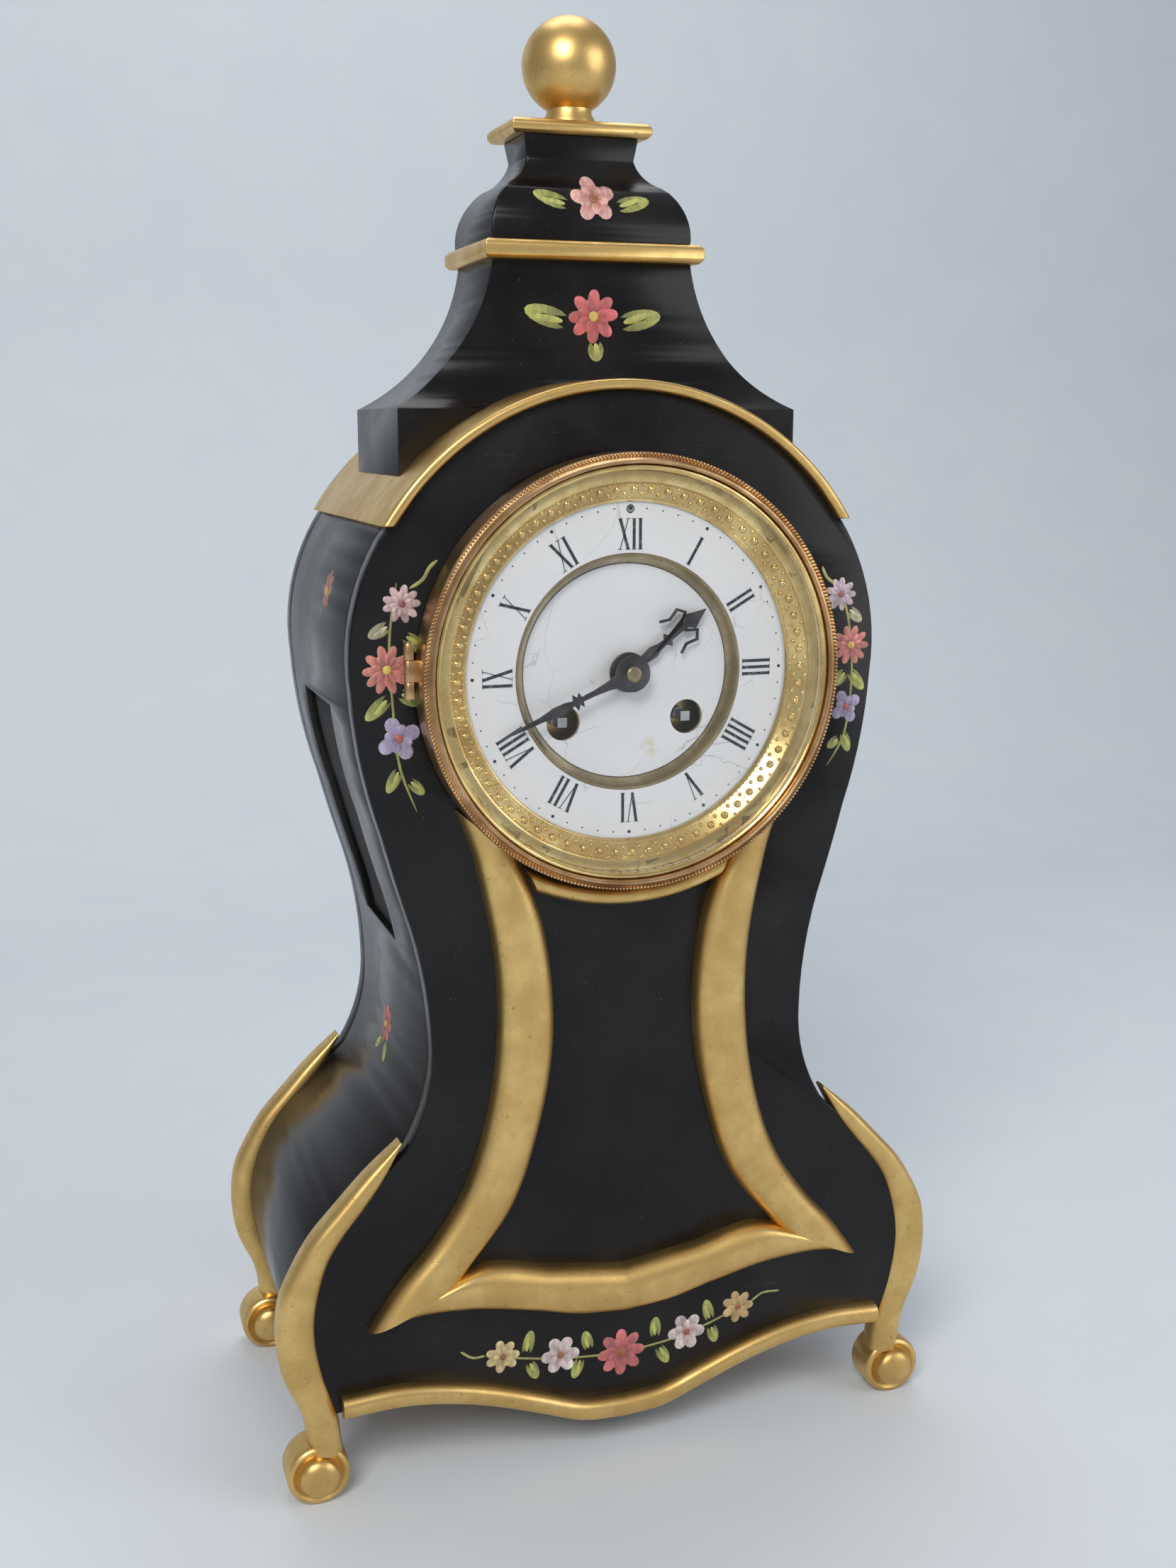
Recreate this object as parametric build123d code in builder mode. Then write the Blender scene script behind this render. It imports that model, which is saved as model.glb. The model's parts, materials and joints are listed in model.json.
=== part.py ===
from build123d import *
from math import acos, asin, atan2, cos, degrees, hypot, pi, radians, sin, sqrt
import os

# A mantel clock with an ebonised, waisted wooden case on four scroll feet, gilt mouldings,
# a stepped crown with a ball, a hinged brass bezel and an eight-day striking movement.
# Millimetres. X runs to the right seen from the front, Y from front to back, Z up.
# The origin is on the floor, under the middle of the clock's bounding box.

os.makedirs("parts", exist_ok=True)

# Whole clock
dial_height = 274.0  # centre of the dial above the floor
case_depth = 116.0  # front face of the front board to back face of the back board
board = 8.0  # thickness of the front board and of the back board
side_wall = 5.0

# Arched top
arch_radius = 91.0
arch_strip = 3.4
arch_proud = 3.2  # gilt strip in front of the front board
arch_end_height = 47.0  # ends of the strip above the dial's centre

# Heights below the waist are drawn for a dial 274 above the floor and stretch with its real height
waist_drop = 120.0
drawn_height = 274.0

# Right edge of the case: pairs of half width and height from the dial's centre, taken in arcs of three
flank_points = [
    (75.8, 47.0),
    (84.8, 29.0),
    (88.2, -4.0),
    (86.0, -24.0),
    (79.8, -49.0),
    (76.6, -61.0),
    (73.1, -73.0),
    (67.2, -97.0),
    (65.2, -120.0),
    (67.3, -138.0),
    (74.3, -154.0),
    (83.2, -163.0),
    (93.4, -172.0),
    (106.8, -190.0),
    (112.0, -212.0),
    (109.4, -229.0),
    (105.0, -243.0),
]
apron_half = 100.0

# Side windows and the cloth in them
window_front = 41.0  # from the front face
window_depth = 47.0
window_top = -13.0
window_height = 82.0
cloth_set_in = 3.0
cloth = 1.4

# Crown
crown_half = 67.4
crown_front = 20.5  # set back from the front board
crown_depth = 62.6
crown_step = 9.8  # the front face steps back this much above the shoulder
crown_shoulder = 82.0
mid_cap_half = 37.1
mid_cap_low = 128.3
mid_cap_thick = 6.0
mid_cap_front = 26.1
mid_cap_depth = 51.8
bell_foot_half = 33.6
bell_neck_half = 18.3
bell_lip_half = 19.5
bell_neck_height = 161.5
bell_centre = 53.5  # behind the board's face
bell_foot_deep = 23.5
bell_neck_deep = 10.9
top_cap_half = 23.9
top_cap_low = 168.3
top_cap_thick = 4.7
top_cap_front = 39.9
top_cap_depth = 30.2
ball_radius = 15.5
ball_foot_radius = 8.4
ball_height = 191.8
ball_bands = 8
ball_sides = 24

# Gilt mouldings
moulding_proud = 8.0
moulding_edge = 2.6
crescent_radius = 76.3
apron_moulding_width = 7.6
apron_moulding_proud = 4.5

# Legs and scroll feet
leg_proud = 2.0
leg_wrap = 9.5  # the leg reaches this far along the side
foot_radius = 10.6
foot_flat = 0.3  # cut off the bottom of each scroll, so that it stands
foot_length = 13.5
foot_half = 106.4
foot_front = -1.5
boss_radius = 6.7
boss_proud = 4.0

# Bezel, glass and dial
seat_inner = 56.2
seat_outer = 67.3
seat_thick = 2.0
bezel_radius = 69.0
bezel_proud = 15.8
bezel_gap = 2.3  # between the front board and the back of the bezel
bezel_inner = 63.4
glass_front = 12.6
glass_thick = 1.5
sight_inner = 53.7
sight_back = 6.0
chapter_front = 5.4
chapter_outer = 55.5
chapter_inner = 37.8
centre_disc_radius = 34.2
brass_ring_front = 5.8
centre_front = 1.6
dial_plate_front = 0.4
dial_plate_thick = 1.2
winding_half = 21.0
winding_drop = 15.7
winding_hole = 5.6
regulator_height = 51.4
regulator_hole = 1.4

# Hinges
knuckle_radius = 2.0
pin_radius = 0.9
running = 0.06  # radial clearance of a pin or an arbor in its hole
knuckle_gap = 0.2
bezel_axis_out = 2.3  # hinge line outside the bezel
bezel_axis_proud = 4.3
bezel_knuckles = (-13.0, -2.0, 9.0, 20.0)
door_half = 49.0
door_opening = 46.0
door_top = 43.0
door_bottom = -125.0
door_thick = 3.0
door_gap = 0.3
door_axis_half = 51.6
door_axis_back = 2.2
door_knuckles = (-20.0, -7.0, 7.0, 20.0)
knob_radius = 4.5
knob_length = 9.0

# Movement
plate_half = 38.0
plate_thick = 2.5
front_plate_at = 9.0  # behind the board's face
plate_space = 38.5  # between the plates
tongue_half = 5.0
tongue_top = 57.0
pillar_inset = 4.2
pillar_radius = 3.2
seatboard_thick = 7.0
seatboard_depth = 46.0
winding_arbor_radius = 2.2
winding_square = 3.1
drum_radius = 14.6
drum_length = 17.0
centre_arbor_radius = 0.9
arbor_radius = 0.6
wheel_thick = 1.4
regulator_radius = 1.0

# Pendulum, strike and bell
pivot_height = 36.0  # the pendulum swings about this line
pendulum_length = 121.5
pendulum_at = 60.5
rod_radius = 1.1
bob_radius = 20.0
bob_thick = 8.0
bell_height = 18.0  # centre of the bell above the dial's centre
gong_radius = 30.0
gong_depth = 20.0
gong_wall = 1.6
gong_mouth_at = 70.0
hammer_half = 34.5
hammer_height = 10.0

# Hands, as they stand in the photograph
minute_angle = 246.6  # clockwise from twelve
hour_angle = 53.7
hour_hand_front = 4.7
minute_hand_front = 8.7
hand_thick = 0.8

# Teeth and arbors of the trains: (x, height) of each arbor from the dial's centre
barrel_arbor = (winding_half, -winding_drop)
second_arbor = (14.1, 2.9)
centre_arbor = (0.0, 0.0)
third_arbor = (-7.5, 11.4)
escape_arbor = (0.0, 22.0)
minute_arbor = (0.0, -12.0)
strike_arbor = (-24.0, 3.9)
barrel_teeth, second_pinion = 48, 8
second_teeth, centre_pinion = 42, 6
centre_teeth, third_pinion = 72, 6
third_teeth, escape_pinion = 66, 6
escape_teeth, escape_radius = 39, 8.0
strike_module = 0.44
cannon_teeth, minute_teeth = 8, 24
minute_pinion, hour_teeth = 8, 32

# Places worked out from the sizes above
back_plate_at = front_plate_at + plate_thick + plate_space
back_reach = door_gap + door_thick + knob_length
face_y = -(case_depth + back_reach - bezel_proud) / 2
inner_arch = arch_radius - arch_strip
bezel_axis_half = bezel_radius + bezel_axis_out


def stretch(points):
    """The same points with what lies below the waist stretched to the dial's real height."""
    factor = (dial_height - waist_drop) / (drawn_height - waist_drop)
    return [(x, z if z > -waist_drop else -waist_drop + (z + waist_drop) * factor) for x, z in points]


def front_plane(behind_face):
    """A drawing plane seen from the front, through the dial's centre, this far behind the board's face."""
    return Plane(origin=(0, face_y + behind_face, dial_height), x_dir=(1, 0, 0), z_dir=(0, -1, 0))


def side_plane(x=0.0):
    """A drawing plane seen from the right: its x runs back from the board's face, its y up from the dial."""
    return Plane(origin=(x, face_y, dial_height), x_dir=(0, 1, 0), z_dir=(1, 0, 0))


def place(x, behind_face, height):
    """A point of the clock from its place beside, behind and above the dial's centre."""
    return (x, face_y + behind_face, dial_height + height)


def turn(point, angle):
    """A point of the plane turned about the origin by an angle in degrees."""
    a = radians(angle)
    return (point[0] * cos(a) - point[1] * sin(a), point[0] * sin(a) + point[1] * cos(a))


def save(piece, name):
    """Labels a finished piece and writes its file."""
    piece.part.label = name
    export_step(piece.part, f"parts/{name}.step")


def arcs_through(points):
    """Arcs of three points each, end to end."""
    for i in range(0, len(points) - 2, 2):
        ThreePointArc(points[i], points[i + 1], points[i + 2])


def bar(low, high, behind_face, length, mode=Mode.ADD):
    """A straight block between two corners of the front view, with its front at behind_face."""
    with BuildSketch(front_plane(behind_face)) as shape:
        with Locations(((low[0] + high[0]) / 2, (low[1] + high[1]) / 2)):
            Rectangle(high[0] - low[0], high[1] - low[1])
    extrude(shape.sketch, amount=-length, mode=mode)


def rod(centre, radius, start, end, mode=Mode.ADD):
    """A round bar along Y between two places behind the board's face."""
    with BuildSketch(front_plane(start)) as shape:
        with Locations(centre):
            Circle(radius)
    extrude(shape.sketch, amount=-(end - start), mode=mode)


def gear(centre, teeth, module, first, start, end):
    """A toothed disc with one tooth pointing at the angle first."""
    pitch_radius = module * teeth / 2
    points = []
    for i in range(teeth):
        points.append(turn((pitch_radius + 0.75 * module, 0), first + 360 * i / teeth))
        points.append(turn((pitch_radius - 1.15 * module, 0), first + 360 * (i + 0.5) / teeth))
    with BuildSketch(front_plane(start)) as shape:
        with BuildLine():
            Polyline(*[(centre[0] + p[0], centre[1] + p[1]) for p in points], close=True)
        make_face()
    extrude(shape.sketch, amount=-(end - start))


def angle_to(a, b):
    """The direction from arbor a to arbor b in degrees."""
    return degrees(atan2(b[1] - a[1], b[0] - a[0]))


def module_of(a, b, teeth_a, teeth_b):
    """The size of tooth that makes two wheels mesh between two arbors."""
    return 2 * hypot(b[0] - a[0], b[1] - a[1]) / (teeth_a + teeth_b)


# Boards and walls of the case
def case_outline(inset):
    """The right half of the case's outline above its foot, moved in by inset."""
    points = [(x - inset, z) for x, z in flank_line]
    with BuildSketch(mode=Mode.PRIVATE) as half:
        with BuildLine():
            arcs_through(points)
            Polyline(points[-1], (0, points[-1][1]), (0, points[0][1]), points[0])
        make_face()
    return half.sketch


apron_points = [(0.0, -262.4), (16.0, -261.2), (31.0, -255.6), (57.0, -246.8), (77.0, -243.6), (apron_half, -243.0)]
apron_points = stretch(apron_points)
flank_line = stretch(flank_points)
flank_end = flank_line[-1]

with BuildSketch() as board_shape:
    with BuildLine():
        arcs_through(flank_line)
        Polyline(flank_end, apron_points[5])
        ThreePointArc(apron_points[5], apron_points[4], apron_points[3])
        Line(apron_points[3], apron_points[2])
        ThreePointArc(apron_points[2], apron_points[1], apron_points[0])
        Line(apron_points[0], (0, inner_arch))
        arch_end = (sqrt(inner_arch**2 - arch_end_height**2), arch_end_height)
        arch_middle = turn((0, inner_arch), -degrees(acos(arch_end_height / inner_arch)) / 2)
        ThreePointArc((0, inner_arch), arch_middle, arch_end)
        Line(arch_end, flank_line[0])
    make_face()
    mirror(about=Plane.YZ)
outline = board_shape.sketch

with BuildPart() as front_board:
    with BuildSketch(front_plane(0)):
        add(outline)
        Circle(seat_inner + 1.0, mode=Mode.SUBTRACT)
    extrude(amount=-board)
save(front_board, "front_board")

with BuildPart() as back_board:
    with BuildSketch(front_plane(case_depth - board)):
        add(outline)
        with Locations((0, (door_top + door_bottom) / 2)):
            Rectangle(2 * door_opening, door_top - door_bottom - 6, mode=Mode.SUBTRACT)
    extrude(amount=-board)
save(back_board, "back_board")

wall_depth = case_depth - 2 * board
wall_outer = case_outline(0)
wall_inner = case_outline(side_wall)
cloth_outer = case_outline(cloth_set_in)
cloth_inner = case_outline(cloth_set_in + cloth)
window_centre = (65.0, window_top - window_height / 2)

with BuildPart() as right_side_panel:
    with BuildSketch(front_plane(board)):
        add(wall_outer)
        add(wall_inner, mode=Mode.SUBTRACT)
        with Locations((0, 0)):
            Rectangle(80, 3 * dial_height, mode=Mode.SUBTRACT)
    extrude(amount=-wall_depth)
    bar((55, window_top - window_height), (95, window_top), window_front, window_depth, Mode.SUBTRACT)
save(right_side_panel, "right_side_panel")

with BuildPart() as left_side_panel:
    add(right_side_panel.part.mirror(Plane.YZ))
save(left_side_panel, "left_side_panel")

with BuildPart() as sound_panels:
    with BuildSketch(front_plane(window_front)):
        add(cloth_outer)
        add(cloth_inner, mode=Mode.SUBTRACT)
        with Locations(window_centre):
            Rectangle(60, window_height, mode=Mode.INTERSECT)
    extrude(amount=-window_depth)
    mirror(about=Plane.YZ)
save(sound_panels, "sound_panels")

floor_low = flank_end[1] + 4
for name, low, high, depth in (
    ("base_board", floor_low, floor_low + 8, wall_depth),
    ("seatboard", -plate_half - seatboard_thick, -plate_half, seatboard_depth),
):
    with BuildPart() as shelf:
        with BuildSketch(front_plane(board)):
            add(wall_inner)
            with Locations((100, (low + high) / 2)):
                Rectangle(200, high - low, mode=Mode.INTERSECT)
            mirror(about=Plane.YZ)
        extrude(amount=-depth)
    save(shelf, name)

# Gilt strip over the arch
strip_end = sqrt(arch_radius**2 - arch_end_height**2)
with BuildPart() as arch_moulding:
    with BuildSketch(front_plane(-arch_proud)):
        with BuildLine():
            ThreePointArc((-strip_end, arch_end_height), (0, arch_radius), (strip_end, arch_end_height))
            Line((strip_end, arch_end_height), arch_end)
            ThreePointArc(arch_end, (0, inner_arch), (-arch_end[0], arch_end_height))
            Line((-arch_end[0], arch_end_height), (-strip_end, arch_end_height))
        make_face()
    extrude(amount=-(case_depth + arch_proud))
    arch_rim = edges().filter_by(GeomType.CIRCLE).group_by(Axis.Y)[0]
    chamfer(arch_rim, length=0.9)
save(arch_moulding, "arch_moulding")

# Crown: each tier is the front view and the side view cut into each other
crown_top = mid_cap_low
crown_base = sqrt(arch_radius**2 - crown_half**2)
with BuildPart() as crown_block:
    with BuildSketch(front_plane(crown_front)):
        with BuildLine():
            Line((0, arch_radius), (0, crown_top))
            Line((0, crown_top), (bell_foot_half, crown_top))
            ThreePointArc((bell_foot_half, crown_top), (38.6, 111.5), (45.9, 100.0))
            ThreePointArc((45.9, 100.0), (54.6, 90.9), (crown_half, crown_shoulder))
            Line((crown_half, crown_shoulder), (crown_half, crown_base))
            ThreePointArc(
                (crown_half, crown_base),
                turn((0, arch_radius), -degrees(asin(crown_half / arch_radius)) / 2),
                (0, arch_radius),
            )
        make_face()
        mirror(about=Plane.YZ)
    extrude(amount=-crown_depth)
    with BuildSketch(side_plane(-crown_half - 1)):
        with BuildLine():
            front = crown_front
            Line((front, crown_base - 5), (front, crown_shoulder))
            ThreePointArc((front, crown_shoulder), (front + 7.6, 90.0), (front + crown_step, 102.0))
            Line((front + crown_step, 102.0), (front + crown_step, crown_top + 1))
            Line((front + crown_step, crown_top + 1), (front + crown_depth / 2, crown_top + 1))
            Line((front + crown_depth / 2, crown_top + 1), (front + crown_depth / 2, crown_base - 5))
            Line((front + crown_depth / 2, crown_base - 5), (front, crown_base - 5))
        make_face()
        mirror(about=Plane.YZ.offset(crown_front + crown_depth / 2))
    extrude(amount=2 * crown_half + 2, mode=Mode.INTERSECT)
save(crown_block, "crown_block")

for name, half, front, depth, low, thick in (
    ("crown_middle_cap", mid_cap_half, mid_cap_front, mid_cap_depth, mid_cap_low, mid_cap_thick),
    ("crown_top_cap", top_cap_half, top_cap_front, top_cap_depth, top_cap_low, top_cap_thick),
):
    with BuildPart() as cap:
        bar((-half, low), (half, low + thick), front, depth)
        chamfer(edges().filter_by(Axis.Z, reverse=True), length=1.3)
    save(cap, name)

bell_low = mid_cap_low + mid_cap_thick
bell_high = top_cap_low
with BuildPart() as crown_bell:
    with BuildSketch(front_plane(bell_centre - bell_foot_deep - 1)):
        with BuildLine():
            Line((0, bell_low), (bell_foot_half, bell_low))
            ThreePointArc((bell_foot_half, bell_low), (31.6, 146.0), (26.4, 152.6))
            ThreePointArc((26.4, 152.6), (20.4, 157.0), (bell_neck_half, bell_neck_height))
            Line((bell_neck_half, bell_neck_height), (bell_lip_half, bell_high))
            Line((bell_lip_half, bell_high), (0, bell_high))
            Line((0, bell_high), (0, bell_low))
        make_face()
        mirror(about=Plane.YZ)
    extrude(amount=-2 * bell_foot_deep - 2)
    with BuildSketch(side_plane(-bell_foot_half - 1)):
        with BuildLine():
            foot = bell_centre - bell_foot_deep
            neck = bell_centre - bell_neck_deep
            Line((bell_centre, bell_low), (foot, bell_low))
            ThreePointArc((foot, bell_low), (foot + 1.6, 144.6), (foot + 5.2, 151.0))
            ThreePointArc((foot + 5.2, 151.0), (foot + 10.6, 156.4), (neck, bell_neck_height))
            Line((neck, bell_neck_height), (neck - 1.2, bell_high))
            Line((neck - 1.2, bell_high), (bell_centre, bell_high))
            Line((bell_centre, bell_high), (bell_centre, bell_low))
        make_face()
        mirror(about=Plane.YZ.offset(bell_centre))
    extrude(amount=2 * bell_foot_half + 2, mode=Mode.INTERSECT)
save(crown_bell, "crown_bell")

# Ball: flat facets between rings of points, on a short foot
ball_at = top_cap_front + top_cap_depth / 2
ball_foot_low = top_cap_low + top_cap_thick
first_angle = asin(ball_foot_radius / ball_radius)
ball_points = [place(0, ball_at, ball_height + ball_radius)]
for i in range(ball_bands):
    a = first_angle + (pi - first_angle) * i / ball_bands
    height = ball_height - ball_radius * cos(a)
    for j in range(ball_sides):
        x, back = turn((ball_radius * sin(a), 0), 360 * j / ball_sides)
        ball_points.append(place(x, ball_at + back, height))
with BuildPart() as ball_finial:
    ConvexPolyhedron(ball_points)
    with BuildSketch(Plane(place(0, ball_at, ball_foot_low), z_dir=(0, 0, 1))):
        RegularPolygon(ball_foot_radius, ball_sides)
    extrude(amount=ball_height - ball_radius * cos(first_angle) - ball_foot_low)
save(ball_finial, "ball_finial")

# Gilt mouldings on the front board: flat bands with upright sides and sloping front edges
def raised(shape, proud, slope):
    """A band from the front board's face forward, its last part sloping in at 45 degrees."""
    with BuildSketch(front_plane(0)) as low:
        add(shape)
    extrude(low.sketch, amount=proud - slope)
    with BuildSketch(front_plane(slope - proud)) as high:
        add(shape)
    extrude(high.sketch, amount=slope, taper=45)


ring_gap = bezel_radius + 1.0
arm_outer = [(56.6, -41.2), (51.4, -55.5), (48.0, -70.0), (44.2, -92.0), (43.5, -114.0), (47.0, -143.0), (57.5, -173.0)]
arm_low = [(57.5, -173.0), (67.5, -187.5), (79.2, -201.0)]
arm_inner = [(36.2, -59.9), (28.6, -80.0), (25.4, -100.0), (25.2, -124.0), (30.0, -150.0), (38.6, -175.0), (57.0, -198.5)]
arm_outer, arm_low, arm_inner, (arm_tip,) = [stretch(p) for p in (arm_outer, arm_low, arm_inner, [(88.8, -214.8)])]
with BuildSketch() as arm_shape:
    with BuildLine():
        arcs_through(arm_outer)
        arcs_through(arm_low)
        Line(arm_low[2], arm_tip)
        Line(arm_tip, arm_inner[6])
        arcs_through(list(reversed(arm_inner)))
        ThreePointArc(arm_inner[0], turn((ring_gap, 0), -47.5), arm_outer[0])
    make_face()
with BuildPart() as right_arm_moulding:
    raised(arm_shape.sketch, moulding_proud, moulding_edge)
save(right_arm_moulding, "right_arm_moulding")
with BuildPart() as left_arm_moulding:
    add(right_arm_moulding.part.mirror(Plane.YZ))
save(left_arm_moulding, "left_arm_moulding")

bar_low = stretch([(0, -221.5), (17, -220.0), (33, -216.0), (58, -211.4), (84.2, -212.9)])
bar_high = stretch([(51.0, -197.0), (26.0, -201.2), (0, -205)])
bar_corner = stretch([(55.8, -198.4)])[0]
with BuildSketch() as bar_shape:
    with BuildLine():
        arcs_through(bar_low)
        Polyline(bar_low[4], bar_corner, bar_high[0])
        arcs_through(bar_high)
        Line(bar_high[2], bar_low[0])
    make_face()
    mirror(about=Plane.YZ)
with BuildPart() as bottom_bar_moulding:
    raised(bar_shape.sketch, moulding_proud, moulding_edge)
save(bottom_bar_moulding, "bottom_bar_moulding")

crescent_end = [(35.2, -60.6), (30.9, -69.8)]
with BuildSketch() as crescent_shape:
    with BuildLine():
        ThreePointArc((-crescent_end[0][0], crescent_end[0][1]), (0, -ring_gap), crescent_end[0])
        Line(crescent_end[0], crescent_end[1])
        ThreePointArc(crescent_end[1], (0, -crescent_radius), (-crescent_end[1][0], crescent_end[1][1]))
        Line((-crescent_end[1][0], crescent_end[1][1]), (-crescent_end[0][0], crescent_end[0][1]))
    make_face()
with BuildPart() as crescent_moulding:
    raised(crescent_shape.sketch, moulding_proud, 2.0)
save(crescent_moulding, "crescent_moulding")

apron_curve = [(0.0, -258.6), (14.5, -257.4), (29.0, -252.2), (56.0, -243.2), (77.0, -239.8), (98.0, -240.4)]
apron_curve = stretch(apron_curve)
with BuildSketch() as apron_shape:
    with BuildLine():
        upper = [(x, z + apron_moulding_width / 2) for x, z in apron_curve]
        lower = [(x, z - apron_moulding_width / 2) for x, z in apron_curve]
        for line in (upper, lower):
            ThreePointArc((-line[2][0], line[2][1]), line[0], line[2])
            Line(line[2], line[3])
            ThreePointArc(line[3], line[4], line[5])
            Line((-line[2][0], line[2][1]), (-line[3][0], line[3][1]))
            ThreePointArc(*[(-x, z) for x, z in line[3:]])
        Line(upper[5], lower[5])
        Line((-upper[5][0], upper[5][1]), (-lower[5][0], lower[5][1]))
    make_face()
with BuildPart() as apron_moulding:
    raised(apron_shape.sketch, apron_moulding_proud, 1.8)
save(apron_moulding, "apron_moulding")

# Legs: a band over the case's corner edge, then the scroll with its boss
leg_outer = [(76.2, -151.0), (87.8, -161.0), (98.3, -172.0), (112.1, -190.0), (118.5, -211.0), (116.8, -228.0), (110.9, -243.0)]
leg_inner = [(74.2, -153.2), (81.6, -163.2), (88.5, -172.5), (99.6, -187.5), (105.4, -211.0), (103.4, -228.0), (99.5, -243.0)]
leg_outer, leg_inner = stretch(leg_outer), stretch(leg_inner)
foot_centre = (foot_half, foot_radius - foot_flat - dial_height)
leg_root = foot_centre[1] + 0.7 * foot_radius
with BuildSketch() as leg_band:
    with BuildLine():
        arcs_through(leg_outer)
        Polyline(leg_outer[6], (foot_half + 3.2, leg_root), (foot_half - 9.0, leg_root), leg_inner[6])
        arcs_through(list(reversed(leg_inner)))
        Line(leg_inner[0], leg_outer[0])
    make_face()


def leg(front, back, roll_at):
    """A right-hand leg between two depths, with the front of its scroll at roll_at."""
    with BuildPart() as piece:
        with BuildSketch(front_plane(front)) as band:
            add(leg_band.sketch)
        extrude(band.sketch, amount=front - back)
        with BuildSketch(front_plane(0)) as prism:
            add(outline)
        extrude(prism.sketch, amount=-case_depth, mode=Mode.SUBTRACT)
        rod(foot_centre, foot_radius, roll_at, roll_at + foot_length)
        rod(foot_centre, boss_radius, roll_at - boss_proud, roll_at)
        below = -dial_height - foot_radius
        bar((0, below), (2 * foot_half, -dial_height), roll_at, foot_length, Mode.SUBTRACT)
    return piece


legs = (
    ("front", -leg_proud, leg_wrap, foot_front),
    ("rear", case_depth - leg_wrap, case_depth + leg_proud, case_depth - foot_length - foot_front),
)
for end, front, back, roll_at in legs:
    right_leg = leg(front, back, roll_at)
    save(right_leg, f"{end}_right_leg")
    with BuildPart() as left_leg:
        add(right_leg.part.mirror(Plane.YZ))
    save(left_leg, f"{end}_left_leg")

# Rings about the dial's centre
ring_plane = Plane(origin=place(0, 0, 0), x_dir=(1, 0, 0), z_dir=(0, 0, 1))
dial_axis = Axis(place(0, 0, 0), (0, 1, 0))


def turned(points):
    """A ring or disc from its section: pairs of radius and place behind the board's face."""
    with BuildSketch(ring_plane) as section:
        with BuildLine():
            Polyline(*points, close=True)
        make_face()
    revolve(section.sketch, axis=dial_axis)


def knuckle(x, behind_face, low, high, hole):
    """An upright hinge knuckle with its hole."""
    with BuildSketch(Plane(place(x, behind_face, low), z_dir=(0, 0, 1))) as eye:
        Circle(knuckle_radius)
    extrude(eye.sketch, amount=high - low)
    with BuildSketch(Plane(place(x, behind_face, low), z_dir=(0, 0, 1))) as bore:
        Circle(hole)
    extrude(bore.sketch, amount=high - low, mode=Mode.SUBTRACT)


with BuildPart() as bezel_seat:
    turned([(seat_inner, -seat_thick), (seat_outer, -seat_thick), (seat_outer, 0), (seat_inner + 1, 0)]
           + [(seat_inner + 1, board), (seat_inner, board)])
    for low, high in ((bezel_knuckles[0], bezel_knuckles[1]), (bezel_knuckles[2], bezel_knuckles[3])):
        bar((-bezel_axis_half - knuckle_radius, low), (2.8 - seat_outer, high), -seat_thick, seat_thick)
        bar(
            (-bezel_axis_half - knuckle_radius, low),
            (-bezel_axis_half + knuckle_radius, high),
            -bezel_axis_proud,
            bezel_axis_proud - seat_thick,
        )
        knuckle(-bezel_axis_half, -bezel_axis_proud, low, high, pin_radius)
save(bezel_seat, "bezel_seat")

with BuildPart() as bezel_ring:
    turned(
        [
            (bezel_inner, -bezel_gap),
            (bezel_inner, -glass_front),
            (66.0, -bezel_proud),
            (bezel_radius, -14.2),
            (bezel_radius, -bezel_gap),
        ]
    )
    low = bezel_knuckles[1] + knuckle_gap
    high = bezel_knuckles[2] - knuckle_gap
    leaf_front = bezel_axis_proud + knuckle_radius
    bar((-bezel_axis_half, low), (1.1 - bezel_radius, high), -leaf_front, knuckle_radius)
    knuckle(-bezel_axis_half, -bezel_axis_proud, low, high, pin_radius + running)
save(bezel_ring, "bezel_ring")

with BuildPart() as hinge_pins:
    for x, behind_face, ends in (
        (-bezel_axis_half, -bezel_axis_proud, bezel_knuckles),
        (door_axis_half, case_depth + door_axis_back, door_knuckles),
    ):
        with BuildSketch(Plane(place(x, behind_face, ends[0]), z_dir=(0, 0, 1))):
            Circle(pin_radius)
        extrude(amount=ends[3] - ends[0])
save(hinge_pins, "hinge_pins")

glass_back = glass_front - glass_thick
with BuildPart() as sight_ring:
    turned(
        [
            (bezel_inner, -glass_back),
            (sight_inner + 0.9, -sight_back),
            (sight_inner, -sight_back),
            (sight_inner + 6.4, -glass_back),
        ]
    )
save(sight_ring, "sight_ring")

with BuildPart() as bezel_glass:
    rod((0, 0), bezel_inner, -glass_front, -glass_back)
save(bezel_glass, "bezel_glass")

# Dial
dial_feet = ((44.0, 0.0), (-44.0, 0.0))
plate_back = -dial_plate_front + dial_plate_thick
with BuildPart() as dial_plate:
    rod((0, 0), chapter_outer, -dial_plate_front, plate_back)
    for hole, radius in (
        ((winding_half, -winding_drop), winding_hole),
        ((-winding_half, -winding_drop), winding_hole),
        ((0, regulator_height), regulator_hole),
        ((0, 0), 3.4),
    ):
        rod(hole, radius, -dial_plate_front, plate_back, Mode.SUBTRACT)
    for x in (-30.0, 30.0):
        rod((x, 26.0), 1.6, plate_back, front_plate_at)
        rod((x, -33.0), 1.6, plate_back, front_plate_at)
save(dial_plate, "dial_plate")

with BuildPart() as chapter_ring:
    turned(
        [
            (chapter_inner, -dial_plate_front),
            (chapter_inner, -chapter_front),
            (chapter_outer, -chapter_front),
            (chapter_outer, -dial_plate_front),
        ]
    )
    rod((0, regulator_height), regulator_hole, -chapter_front, -dial_plate_front, Mode.SUBTRACT)
save(chapter_ring, "chapter_ring")

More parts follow.
